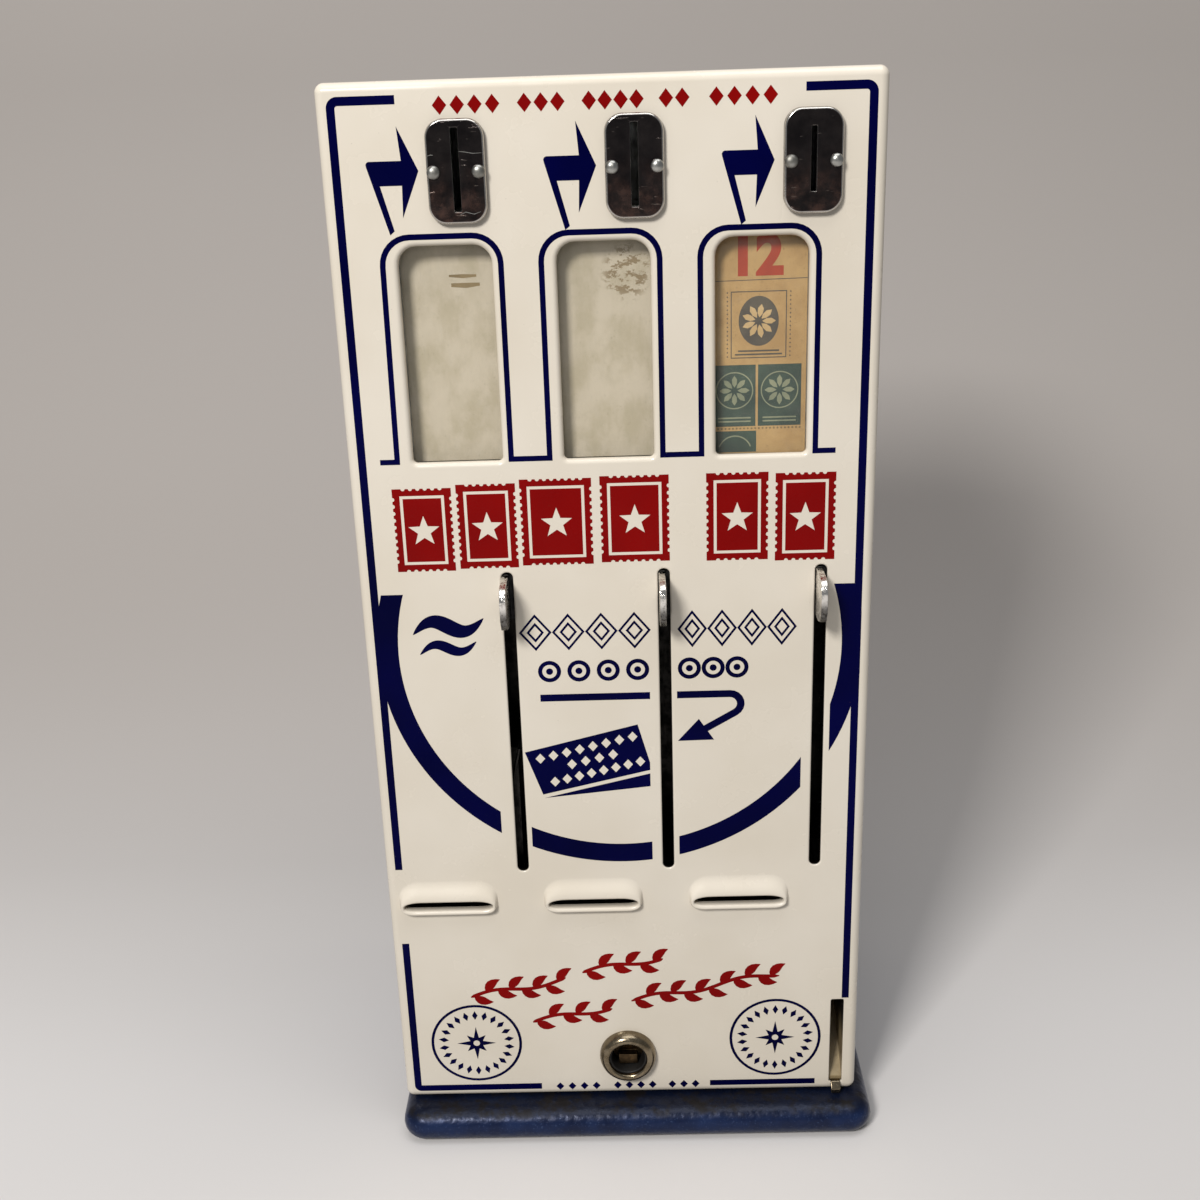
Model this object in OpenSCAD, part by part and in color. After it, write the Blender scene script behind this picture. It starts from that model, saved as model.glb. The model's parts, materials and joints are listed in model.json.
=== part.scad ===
// Counter-top stamp folder vending machine with three columns.
// Most modules are drawn in the cover's own frame: X to the right from the cover's
// centre line, Y backwards from its front face, Z up from its lower edge.

/* [Base casting] */
// Width of the cast base
base_w = 184.8; // [180:0.2:200]
// Thickness of the cast base
base_t = 13; // [11:0.5:16]
// How far the base stands out in front of the cover's face
base_lip = 12; // [8:0.5:14]
// Corner radius of the base, seen from above
base_corner_r = 9; // [7:0.5:14]
// Depth of the hollow under the base
base_hollow = 6; // [3:0.5:8]
// Wall left round the hollow under the base
base_wall = 14; // [12:0.5:16]
// Radius of the four holes that bolt the machine to a counter
bolt_r = 2.75; // [2:0.05:3.2]
// Distance between the counter bolts, left to right
bolt_span_x = 160; // [159:0.5:161]
// Distance between the counter bolts, front to back
bolt_span_y = 80; // [60:1:90]

/* [Cover] */
// Width of the enamelled front cover
cover_w = 178; // [176:0.5:180]
// Height of the front cover
cover_h = 381; // [378:1:400]
// Thickness of the enamelled sheet
sheet_t = 1.2; // [0.9:0.1:1.5]
// Depth of the cover's return flanges
cover_depth = 12; // [9:0.5:12.5]
// Outer radius of the cover's rolled edges
edge_r = 3; // [2:0.25:4]
// Gap between the cover and the base
cover_gap = 0.5; // [0.3:0.1:1]
// How far the cabinet stands to the left of the base's centre line
cover_shift = 2.4; // [0:0.2:2.6]
// Opening angle at which the cover is drawn open, for checking the hinge
cover_open_limit = 85; // [60:1:85]

/* [Cabinet] */
// Overall depth, from the lever tips to the back of the base
overall_d = 150; // [148:1:180]
// Thickness of the cabinet's sheet steel
case_t = 1.2; // [0.8:0.1:1.5]
// Side gap between the cover's flanges and the cabinet
case_clear = 0.4; // [0.3:0.05:0.8]
// Distance of the cabinet's front edge behind the cover's face
case_front = 4; // [3.5:0.25:6]
// How far the base runs on behind the cabinet
base_back_lip = 2; // [1:0.5:4]
// Radius of the cabinet's rear corners
case_corner_r = 8; // [4:0.5:12]
// Width of the cabinet's floor flange
floor_flange = 14; // [13:0.5:16]
// Corner radius of the opening in the cabinet's floor
floor_open_r = 5; // [3:0.5:8]
// Distance between the screws at each side of the cabinet's floor
case_screw_gap = 30; // [20:1:40]

/* [Cover pivots] */
// Distance of the pivot axis behind the cover's face
pivot_y = 17; // [16.5:0.25:20]
// Distance of the pivot axis below the cover's top
pivot_drop = 6.2; // [5.8:0.1:6.6]
// Radius of the pivot shank
pivot_r = 2.45; // [1.5:0.05:2.6]
// Radial running clearance of the pivots and of the lock plug
run_clear = 0.05; // [0.02:0.01:0.1]
// Radius of the hinge ears round the pivot
ear_r = 5.5; // [4:0.25:6]
// How far the hinge ears' foot lies below the pivot
ear_foot = 14; // [8:0.5:20]

/* [Windows] */
// Centre of the middle window
window_x = -0.8; // [-1.2:0.1:0]
// Distance between the windows
window_pitch = 50.9; // [50.6:0.1:51.4]
// Width of a window opening
window_w = 30.2; // [28:0.2:30.6]
// Lower edge of the windows above the cover's lower edge
window_z = 259.6; // [259:0.1:260.5]
// Height of a window opening
window_h = 71.3; // [66:0.1:72]
// Radius of a window's upper corners
window_top_r = 6; // [2:0.5:9]
// Radius of a window's lower corners
window_low_r = 1.5; // [0.5:0.25:4]
// Depth of the rolled rims behind the face
rim_depth = 2.6; // [2:0.1:2.7]
// Width of the rolled rims
rim_w = 0.9; // [0.6:0.1:1.2]
// Thickness of a window pane
pane_t = 1.2; // [0.8:0.1:1.3]
// How far a pane reaches past its opening on each side
pane_lap = 2; // [1.5:0.1:2.2]
// Thickness of a pane clip
clip_t = 0.5; // [0.3:0.1:0.6]

/* [Coin entries] */
// Centre of the middle coin plate
coin_x = 9.8; // [9:0.1:10.5]
// Distance between the coin plates
coin_pitch = 55.8; // [55.2:0.1:56.2]
// Centre height of the coin plates
coin_z = 353.6; // [353.2:0.1:354.4]
// Width of a coin plate
plate_w = 18.6; // [17.8:0.2:20]
// Height of a coin plate
plate_h = 31.8; // [30:0.2:32.4]
// Thickness of a coin plate
plate_t = 2.6; // [1.6:0.1:3.5]
// Corner radius of a coin plate
plate_r = 5.6; // [3:0.2:7]
// Bevel round the front of a coin plate
plate_bevel = 0.7; // [0.3:0.1:1]
// Width of the coin slots
coin_slot_w = 2.2; // [2:0.1:2.6]
// Height of the two larger coin slots
coin_slot_h = 25.4; // [24.8:0.1:26]
// Height of the smallest coin slot
dime_slot_h = 18.8; // [18.4:0.1:20]
// Height of the larger slots' centre above the plate's centre
coin_slot_up = 0.5; // [0:0.1:0.8]
// Height of the smallest slot's centre above the plate's centre
dime_slot_up = 0.6; // [0:0.1:2]
// Distance between a plate's two rivets
rivet_span = 14.1; // [12.5:0.1:14.3]
// Radius of a rivet's head
rivet_head_r = 1.9; // [1.5:0.1:2.1]
// Height of a rivet's head
rivet_dome = 1.3; // [0.8:0.1:2]
// Radius of a rivet's shank
rivet_r = 1.1; // [0.7:0.1:1.2]

/* [Levers] */
// Centre of the middle lever slot
lever_x = 16.8; // [16.4:0.1:17]
// Distance between the lever slots
lever_pitch = 54.25; // [54.1:0.05:54.4]
// Width of a lever slot
lever_slot_w = 4; // [3.8:0.1:4.4]
// Lower end of the lever slots
lever_slot_z0 = 102.2; // [102:0.1:104]
// Upper end of the lever slots
lever_slot_z1 = 220; // [218:0.5:220.5]
// Thickness of a lever
lever_t = 3; // [2.4:0.1:3.2]
// Height of a lever's plate
lever_h = 17; // [14:0.5:18]
// How far a lever stands out of the cover's face
lever_out = 15; // [13:0.5:18]
// Height of the lever's slanted lower front
lever_slant = 5.5; // [3:0.5:7]
// Gap above and below a lever at the ends of its travel
lever_end_gap = 1; // [0.6:0.1:1.5]
// Height of a lever's slide block
slide_h = 17; // [14:0.5:17]

/* [Slide guides] */
// Sideways distance of the guide rod from the lever slot's centre
rod_offset = 6.3; // [6.1:0.1:6.5]
// Distance of the guide rods behind the cover's face
rod_y = 14; // [13.5:0.1:15]
// Radius of the guide rods
rod_r = 2.5; // [1.8:0.1:2.6]
// Width of a slide block
slide_w = 7.8; // [7:0.1:8]
// Depth of a slide block
slide_d = 11.2; // [10:0.1:12]
// Width of a guide bracket
bracket_w = 7.4; // [6.6:0.1:7.8]
// Thickness of a guide bracket
bracket_t = 2.5; // [1.5:0.1:3]
// Mean radius of a lever's return spring
lever_spring_r = 3.5; // [3.3:0.1:3.6]
// Wire radius of a lever's return spring
lever_wire_r = 0.4; // [0.3:0.05:0.45]
// Turns of a lever's return spring
lever_turns = 10; // [6:1:11]
// Room for the closed return spring below its slide
closed_spring = 12; // [11:0.5:13]

/* [Pusher] */
// Thickness of the pusher's strip
pusher_t = 0.9; // [0.6:0.1:1]
// Width of the pusher's arm
pusher_w = 5; // [4:0.1:5.4]
// Height of the pusher's finger
finger_h = 4; // [3:0.1:4.4]
// Reach of the finger's tab past the window's centre line, to the left
finger_reach = 8; // [4:0.5:12]

/* [Folders and magazines] */
// Width of a stamp folder
folder_w = 32; // [31:0.1:32.4]
// Height of a stamp folder
folder_h = 73; // [71.5:0.1:73.2]
// Thickness of a stamp folder
folder_t = 1.1; // [0.8:0.05:1.15]
// Distance of the front folder behind the cover's face
folder_y = 6.8; // [6.75:0.01:6.9]
// Folders drawn in the stack behind the front one
stack_count = 12; // [4:1:16]
// Thickness of one bundle in the stack
bundle_t = 3.2; // [1:0.1:3.4]
// Sheet thickness of a magazine
mag_t = 0.8; // [0.5:0.1:0.9]
// Side clearance between folders and magazine
mag_clear = 0.4; // [0.3:0.05:0.5]
// Distance of the magazine's front lips behind the cover's face
mag_front = 5.9; // [5.8:0.05:5.95]
// Width of the magazine's front lips
mag_lip = 1.1; // [0.8:0.1:1.3]
// Gap between the magazines and the cabinet's back
mag_back_gap = 11.8; // [6:0.2:20]
// Thickness of a follower plate
follower_t = 1.6; // [1:0.1:2]
// Length of a follower's side skirts
skirt_len = 24; // [15:1:30]
// Mean radius of a follower spring
follower_spring_r = 7; // [4:0.5:11]
// Wire radius of a follower spring
follower_wire_r = 0.55; // [0.4:0.05:0.7]
// Turns of a follower spring
follower_turns = 11; // [6:1:14]

/* [Chassis] */
// Distance of the chassis plate behind the cover's face
chassis_y = 34.2; // [33.8:0.1:36]
// Thickness of the chassis plate
chassis_t = 1.2; // [0.9:0.1:1.5]
// Depth of the chassis plate's side flanges
chassis_flange = 12; // [8:0.5:16]
// Lower edge of the chassis plate
chassis_z0 = 84; // [80:1:90]
// Upper edge of the chassis plate
chassis_z1 = 370; // [362:1:371]
// Distance of the chassis plate's lowest screws above its lower edge
chassis_screw_low = 26; // [16:1:40]
// Distance of its highest screws below its upper edge
chassis_screw_high = 20; // [12:1:40]
// Distance of its middle screws above the lowest ones
chassis_screw_gap = 130; // [80:1:160]
// Width of the holes that lighten the chassis plate
relief_w = 18; // [10:1:20]
// Height of the holes that lighten the chassis plate
relief_h = 62; // [40:1:70]
// Distance of these holes above the plate's lower edge
relief_up = 78; // [70:1:90]
// Corner radius of these holes
relief_r = 5; // [3:0.5:8]

/* [Coin chutes] */
// Sheet thickness of the coin chutes
chute_t = 0.8; // [0.5:0.1:1]
// Outer width of a coin channel
channel_w = 6.2; // [5.6:0.1:6.2]
// Distance of the coin channels behind the cover's face
channel_y = 8.2; // [8:0.1:9]
// Lower end of the coin channels
channel_z0 = 230; // [229:0.5:236]
// Width of a coin throat behind its slot
throat_w = 5.2; // [4.6:0.1:6]
// Distance of the throats behind the cover's face
throat_y = 3; // [2.8:0.1:3.4]

/* [Delivery] */
// Centre of the middle delivery slot
deliver_x = -11.7; // [-12.5:0.1:-11]
// Distance between the delivery slots
deliver_pitch = 54.55; // [54.3:0.05:54.8]
// Width of a delivery slot
deliver_w = 34.4; // [33:0.1:35.4]
// Height of a delivery slot
deliver_h = 4.8; // [4.4:0.1:5.4]
// Centre height of the delivery slots
deliver_z = 88.6; // [88:0.1:89.4]
// How far the drawn mouth stands out of the face
mouth_out = 2.8; // [1.5:0.1:3.6]
// Width of the soft ends of the mouth, beside its slot
mouth_end = 3.4; // [2.5:0.1:3.6]
// Height of the hood above a delivery slot
hood_h = 8; // [5:0.5:10]
// Height of the lip below a delivery slot
lip_h = 2.8; // [2.5:0.1:5]
// Sheet thickness of the delivery chutes
ramp_t = 0.9; // [0.6:0.1:1.2]
// Height of the delivery chutes
ramp_h = 64; // [50:1:68]
// Rise of the bend at the foot of a delivery chute
ramp_bend = 10; // [6:0.5:12]

/* [Coin return] */
// Centre of the coin return slot
return_x = 81.1; // [80.8:0.1:81.3]
// Width of the coin return slot
return_w = 5; // [4.6:0.1:5.2]
// Lower end of the coin return slot
return_z0 = 3.9; // [3.6:0.1:5]
// Width of the bent lip in the coin return slot
lip_w = 3.8; // [2:0.1:3.8]
// Upper end of the coin return slot
return_z1 = 42.4; // [38:0.1:46]

/* [Lock] */
// Sideways place of the lock
lock_x = -0.4; // [-2:0.1:2]
// Height of the lock's centre
lock_z = 19; // [18.8:0.1:20]
// Outer radius of the lock's bezel
bezel_r = 10.7; // [9.6:0.1:12]
// How far the bezel stands out of the face
bezel_out = 3.6; // [2:0.1:5]
// Outer radius of the lock's barrel
barrel_r = 8; // [7.6:0.1:8.4]
// Radius of the lock's plug
plug_r = 6.5; // [5.5:0.1:6.9]
// Length of the barrel behind the face
barrel_len = 17; // [15:0.5:18]
// Width of the tongue at the bottom of the keyway
tongue_w = 6.8; // [5:0.1:7.6]
// Height of the tongue
tongue_h = 3; // [2:0.1:4]
// Distance of the tongue's lower edge below the lock's centre
tongue_drop = 4.8; // [4.4:0.1:5.2]
// How far the tongue stands out of the plug's face
tongue_out = 4; // [3:0.1:6]
// Radius of the plug's tail
tail_r = 3; // [2:0.1:3.4]
// Reach of the cam from the lock's centre
cam_reach = 17; // [14:0.1:17.2]
// Width of the cam
cam_w = 9; // [7:0.1:10]
// Thickness of the cam
cam_t = 2; // [1:0.1:2.4]
// Gap between the strike and the cam
cam_gap = 0.8; // [0.5:0.1:1]

/* [Cash box] */
// Gap between the cash box and the cabinet's walls, at each side
cash_side_gap = 20; // [17:0.5:30]
// Gap between the cash box and the cabinet's back
cash_back_gap = 16.6; // [16:0.2:30]
// Height of the cash box
cash_h = 58; // [40:1:60]
// Sheet thickness of the cash box
cash_t = 1.2; // [0.8:0.1:1.6]
// Radius of the cash box's corners
cash_r = 6; // [3:0.5:10]
// Width of the pull at the front of the cash box
pull_w = 36; // [24:1:50]
// Height of the pull
pull_h = 9; // [6:0.5:12]
// How far the pull stands out
pull_out = 8; // [5:0.5:8]

/* [Hidden] */

$fn = 40;
columns = [-1, 0, 1];
arc_steps = 6;
seat_gap = 0.2;
cut = 1;

// Places of the base and of the cover's frame
face_y = lever_out - overall_d / 2;
cover_z0 = base_t + cover_gap;
base_y0 = face_y - base_lip;
base_y1 = overall_d / 2;
base_mid_y = (base_y0 + base_y1) / 2;

// The cabinet, in the cover's frame
case_half = cover_w / 2 - sheet_t - case_clear;
case_in = case_half - case_t;
case_top = cover_h - sheet_t - case_clear;
case_back = base_y1 - face_y - base_back_lip;
case_floor = case_t - cover_gap;
pivot_z = cover_h - pivot_drop;
bolt_mid_y = 70;
floor_back_gap = 2;

// Columns of windows, coin plates, levers and slots; they spread with the cover's width
drawn_w = 178;
spread = cover_w / drawn_w;
function window_at(i) = (window_x + i * window_pitch) * spread;
function coin_at(i) = (coin_x + i * coin_pitch) * spread;
function lever_at(i) = (lever_x + i * lever_pitch) * spread;
function deliver_at(i) = (deliver_x + i * deliver_pitch) * spread;
function rod_at(i) = lever_at(i) + rod_offset * spread;
return_at = return_x * spread;
opening_w = window_w * spread;
card_w = folder_w * spread;
exit_w = deliver_w * spread;

// Layers behind the face
pane_y = rim_depth;
clip_back = pane_y + pane_t + clip_t;
pusher_y = mag_front - pusher_t - seat_gap - 0.2;
floor_y = folder_y + folder_t + seat_gap + 0.2;
follower_y = floor_y;
mag_in = card_w / 2 + mag_clear;
mag_out = mag_in + mag_t;
mag_z = window_z - 1.5;
folder_z = mag_z + seat_gap;
folder_top = folder_z + folder_h;
mag_top = folder_top + 1;
mag_back = case_back - case_t - mag_back_gap;
stack_d = stack_count * bundle_t;

// Lever and slide
lever_top = lever_slot_z1 - lever_end_gap;
lever_low = lever_top - lever_h;
lever_travel = lever_low - lever_slot_z0 - lever_end_gap;
slide_low = lever_top - slide_h;
slide_y0 = rod_y - slide_d / 2;
low_bracket = slide_low - lever_travel - closed_spring;
high_bracket = lever_top + 5;
rod_low = low_bracket - 2;
rod_high = high_bracket + bracket_t + 1.5;
finger_z = folder_top + 0.6;

// Coin chutes
hopper_z0 = coin_z - plate_h / 2 + 2.8;
hopper_z1 = coin_z + plate_h / 2;
hopper_fall = 3.6;

// Coin return and tray
return_back = chassis_y + chassis_flange;
return_rise = 38;
return_wall = 16;
tray_z = 64;
tray_fall = 10;
tray_edge = 8;

// Lock
barrel_back = barrel_len;
strike_t = 1.2;
strike_y = barrel_back + 2;
cam_y = strike_y + strike_t + cam_gap;
nut_t = 2.6;

// Quarter of an arc about a point, starting at angle a
function corner(x, y, r, a) =
  r <= 0 ? [[x, y]] :
  [for (k = [0:arc_steps]) [x + r * cos(a + 90 * k / arc_steps), y + r * sin(a + 90 * k / arc_steps)]];

// Rectangle with its own radius at each corner: low left, low right, high right, high left
function soft_rect(x0, y0, x1, y1, r) = concat(
  corner(x0 + r[0], y0 + r[0], r[0], 180),
  corner(x1 - r[1], y0 + r[1], r[1], 270),
  corner(x1 - r[2], y1 - r[2], r[2], 0),
  corner(x0 + r[3], y1 - r[3], r[3], 90)
);

function even(r) = [r, r, r, r];

// From the base's frame to the cover's frame
module on_face() { translate([-cover_shift, face_y, cover_z0]) children(); }

// A profile in X and Z, given depth from y0 to y1
module depth_y(y0, y1) {
  translate([0, y1, 0]) rotate([90, 0, 0]) linear_extrude(y1 - y0) children();
}

// A profile in Y and Z, given width from x0 to x1
module width_x(x0, x1) {
  translate([x0, 0, 0]) rotate([90, 0, 90]) linear_extrude(x1 - x0) children();
}

// A box from its lowest to its highest corner
module block(lo, hi) { translate(lo) cube(hi - lo); }

// A round bar along Y, and one along X
module bar_y(x, z, r, y0, y1) { translate([x, y1, z]) rotate([90, 0, 0]) cylinder(r = r, h = y1 - y0); }
module bar_x(y, z, r, x0, x1) { translate([x0, y, z]) rotate([0, 90, 0]) cylinder(r = r, h = x1 - x0); }

// Least distance between points of a coil that are at least half a turn apart along it
function coil_gap(points, sides, curl_rings) = min([
  for (i = [0:sides:len(points) - sides * curl_rings - 1]) for (j = [0:sides - 1])
    for (k = [curl_rings / 2:curl_rings]) for (m = [0:sides - 1])
      norm(points[i + j] - points[i + k * sides + m])
]);

// Coil spring standing on z = 0: one unbroken tube of six sides, whose least gap is printed
module coil(r, wire_r, height, turns) {
  sides = 6;
  curl_rings = 8;
  rings = turns * curl_rings;
  pitch = (height - 2 * wire_r) / turns;
  slope = atan(pitch / (2 * PI * r));
  points = [for (i = [0:rings]) for (j = [0:sides - 1])
    let (a = 360 * i / curl_rings, b = 360 * j / sides, u = wire_r * cos(b), v = wire_r * sin(b))
    [ (r + u) * cos(a) + v * sin(slope) * sin(a),
      (r + u) * sin(a) - v * sin(slope) * cos(a),
      wire_r + pitch * i / curl_rings + v * cos(slope) ]];
  walls = [for (i = [0:rings - 1]) for (j = [0:sides - 1])
    let (k = (j + 1) % sides, p = i * sides)
    each [[p + j, p + k, p + sides + k], [p + j, p + sides + k, p + sides + j]]];
  first = [for (j = [1:sides - 2]) [0, j + 1, j]];
  last = [for (j = [1:sides - 2]) [rings * sides, rings * sides + j, rings * sides + j + 1]];
  echo(str("least gap between turns: ", coil_gap(points, sides, curl_rings), " mm"));
  polyhedron(points, concat(walls, first, last));
}

// Cast base with a full round edge, hollow underneath
module base_casting() {
  r = base_t / 2;
  hx = base_w / 2;
  color("steelblue") difference() {
    hull() for (x = [-1, 1]) for (y = [base_y0 + base_corner_r, base_y1 - base_corner_r])
      translate([x * (hx - base_corner_r), y, r]) rotate_extrude($fn = 32)
        translate([base_corner_r - r, 0]) intersection() {
          circle(r, $fn = 24);
          translate([0, -r]) square([r, base_t]);
        }
    difference() {
      translate([0, 0, -cut]) linear_extrude(base_hollow + cut)
        polygon(soft_rect(base_wall - hx, base_y0 + base_wall, hx - base_wall, base_y1 - base_wall,
          even(base_corner_r - 2)));
      for (x = [-1, 1]) for (y = [-1, 1])
        translate([x * bolt_span_x / 2, bolt_mid_y + face_y + y * bolt_span_y / 2, -2 * cut])
          cylinder(r = bolt_r + 4, h = base_hollow + 3 * cut);
    }
    bolt_holes(-cut, base_t + cut);
    on_face() case_screw_places() translate([0, 0, -5]) cylinder(r = screw_r + run_clear, h = 6);
  }
}

module bolt_holes(z0, z1) {
  for (x = [-1, 1]) for (y = [-1, 1])
    translate([x * bolt_span_x / 2, bolt_mid_y + face_y + y * bolt_span_y / 2, z0])
      cylinder(r = bolt_r, h = z1 - z0);
}

// Folded cabinet, open at the front, with a flange for a floor
module case_shell() {
  x = case_half;
  color("steelblue") difference() {
    on_face() difference() {
      translate([0, 0, -cover_gap]) linear_extrude(case_top + cover_gap)
        polygon(soft_rect(-x, case_front, x, case_back, [0, 0, case_corner_r, case_corner_r]));
      translate([0, 0, case_floor]) linear_extrude(case_top - case_t - case_floor)
        polygon(soft_rect(-case_in, case_front - cut, case_in, case_back - case_t,
          [0, 0, case_corner_r - case_t, case_corner_r - case_t]));
      translate([0, 0, -cover_gap - cut]) linear_extrude(case_t + 2 * cut)
        polygon(soft_rect(floor_flange - x, case_front + floor_flange + floor_back_gap,
          x - floor_flange, case_back - floor_flange, even(floor_open_r)));
      bar_x(pivot_y, pivot_z, pivot_r + run_clear, -x - cut, x + cut);
      case_screw_places() translate([0, 0, -2]) cylinder(r = screw_r + run_clear, h = 4);
      chassis_screw_places() bar_x(0, 0, screw_r + run_clear, -cut, 2 * case_t);
    }
    bolt_holes(0, 2 * base_t);
  }
}

// Screws that hold the cabinet on the base
screw_r = 1.5;
screw_head_r = 3;
screw_head_t = 1.8;
module case_screw_places() {
  for (x = [-1, 1]) for (y = [-0.5, 0.5])
    translate([x * (case_half - floor_flange / 2), bolt_mid_y + y * case_screw_gap, 0]) children();
}
module case_screws() {
  color("silver") on_face() case_screw_places() difference() {
    union() {
      translate([0, 0, -4]) cylinder(r = screw_r, h = 4 + case_floor);
      translate([0, 0, case_floor]) cylinder(r1 = screw_head_r, r2 = screw_head_r - 0.6, h = screw_head_t);
    }
    translate([0, 0, case_floor + screw_head_t]) cube([2 * screw_head_r, 0.8, 1.6], center = true);
  }
}

// Shouldered rivets on which the cover swings
module pivot_rivets() {
  head_t = 0.8;
  color("silver") on_face() for (s = [0, 1]) mirror([s, 0, 0]) {
    bar_x(pivot_y, pivot_z, pivot_r, case_in - 1.5, cover_w / 2 + 0.1);
    bar_x(pivot_y, pivot_z, pivot_r + 1.6, cover_w / 2 + 0.1, cover_w / 2 + 0.1 + head_t);
    bar_x(pivot_y, pivot_z, pivot_r + 0.8, case_in - 2.4, case_in);
  }
}

// Plate across the cabinet that carries the magazines, chutes and guides
module chassis_plate() {
  window_gap = mag_out + seat_gap;
  color("lightgray") on_face() difference() {
    union() {
      block([-case_in, chassis_y, chassis_z0], [case_in, chassis_y + chassis_t, chassis_z1]);
      for (s = [0, 1]) mirror([s, 0, 0])
        block([case_in - chassis_t, chassis_y, chassis_z0], [case_in, chassis_y + chassis_flange, chassis_z1]);
    }
    for (i = columns) depth_y(chassis_y - cut, chassis_y + chassis_t + cut)
      polygon(soft_rect(window_at(i) - window_gap, mag_z - mag_t - seat_gap,
        window_at(i) + window_gap, mag_top + seat_gap, even(0)));
    for (i = columns) depth_y(chassis_y - cut, chassis_y + chassis_t + cut)
      polygon(soft_rect(window_at(i) - relief_w / 2, chassis_z0 + relief_up,
        window_at(i) + relief_w / 2, chassis_z0 + relief_up + relief_h, even(relief_r)));
    chassis_screw_places() bar_x(0, 0, screw_r + run_clear, -2 * chassis_t, cut);
  }
}

// Screws through the cabinet's sides into the chassis plate
module chassis_screw_places() {
  low = chassis_z0 + chassis_screw_low;
  high = chassis_z1 - chassis_screw_high;
  for (s = [0, 1]) mirror([s, 0, 0]) for (z = [low, low + chassis_screw_gap, high])
    translate([case_in, chassis_y + chassis_flange / 2 + 1, z]) children();
}
module chassis_screws() {
  head_t = 1.3;
  tail = chassis_t + 1.6;
  color("silver") on_face() chassis_screw_places() {
    bar_x(0, 0, screw_r, -tail, case_t);
    bar_x(0, 0, screw_head_r - 0.4, case_t, case_t + head_t);
    bar_x(0, 0, screw_head_r - 0.4, -tail, -chassis_t);
  }
}

// Brackets that hold the ends of the guide rods
module guide_brackets() {
  color("lightgray") on_face() for (i = columns) for (z = [low_bracket, high_bracket]) difference() {
    block([rod_at(i) - bracket_w / 2, rod_y - 4, z], [rod_at(i) + bracket_w / 2, chassis_y, z + bracket_t]);
    translate([rod_at(i), rod_y, z - cut]) cylinder(r = rod_r + 0.02, h = bracket_t + 2 * cut);
  }
}

module guide_rod(i) {
  color("silver") on_face() translate([rod_at(i), rod_y, rod_low])
    cylinder(r = rod_r, h = rod_high - rod_low);
}

// Ears that carry the coin latches, each with its pin
latch_x = slide_w / 2 + 0.8;
latch_t = 1.4;
latch_y = 27;
latch_drop = 6;
latch_z = lever_top - latch_drop;
latch_pin_r = 1.5;
latch_ear_h = 10;
module latch_brackets() {
  ear_x = latch_x + latch_t + 0.3;
  color("lightgray") on_face() for (i = columns) translate([rod_at(i), 0, 0]) {
    block([ear_x, latch_y - 4, latch_z - latch_ear_h / 2],
      [ear_x + 1.2, chassis_y, latch_z + latch_ear_h / 2]);
    bar_x(latch_y, latch_z, latch_pin_r, latch_x - 0.6, ear_x);
  }
}

// Latch that lets a lever go once a coin lies on it
module coin_latch(i) {
  nose = [[6, 1.5], [-11, 9.5], [-14, 9.5], [-15, 7], [-13, 4.6], [-4, -3.5], [3, -9], [6.2, -7.6]];
  color("tan") on_face() translate([rod_at(i), latch_y, latch_z]) difference() {
    width_x(latch_x, latch_x + latch_t) polygon(nose);
    bar_x(0, 0, latch_pin_r + run_clear, latch_x - cut, latch_x + latch_t + cut);
  }
}

// Channel that holds a stack of folders, open at the front and the top
module magazine(i) {
  color("gainsboro") on_face() translate([window_at(i), 0, 0]) difference() {
    block([-mag_out, mag_front, mag_z - mag_t], [mag_out, mag_back, mag_top]);
    block([-mag_in, mag_front + mag_t, mag_z], [mag_in, mag_back - mag_t, mag_top + cut]);
    block([mag_lip - mag_in, mag_front - cut, mag_z], [mag_in - mag_lip, mag_front + mag_t + cut, mag_top + cut]);
    block([-mag_in, mag_front - cut, mag_z - mag_t - cut], [mag_in, floor_y, mag_z + cut]);
  }
}

// Hopper behind a coin plate that turns into a narrow channel down to the lever
module coin_chute(i) {
  c0 = rod_at(i) - channel_w * spread / 2;
  c1 = rod_at(i) + channel_w * spread / 2;
  t0 = coin_at(i) - throat_w / 2;
  t1 = coin_at(i) + throat_w / 2;
  w = chute_t;
  color("silver") on_face() difference() {
    union() {
      depth_y(channel_y, chassis_y) polygon([
        [t0, hopper_z1], [t0, hopper_z0], [c0, hopper_z0 - hopper_fall], [c0, channel_z0],
        [c1, channel_z0], [c1, hopper_z1]]);
      block([t0, throat_y, hopper_z0], [t1, channel_y + w, hopper_z1]);
    }
    depth_y(channel_y + w, chassis_y - w) polygon([
      [t0 + w, hopper_z1 - w], [t0 + w, hopper_z0 + w], [c0 + w, hopper_z0 - hopper_fall + w],
      [c0 + w, channel_z0 - cut], [c1 - w, channel_z0 - cut], [c1 - w, hopper_z1 - w]]);
    block([t0 + w, throat_y - cut, hopper_z0 + w], [t1 - w, channel_y + 2 * w, hopper_z1 - w]);
  }
}

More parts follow.
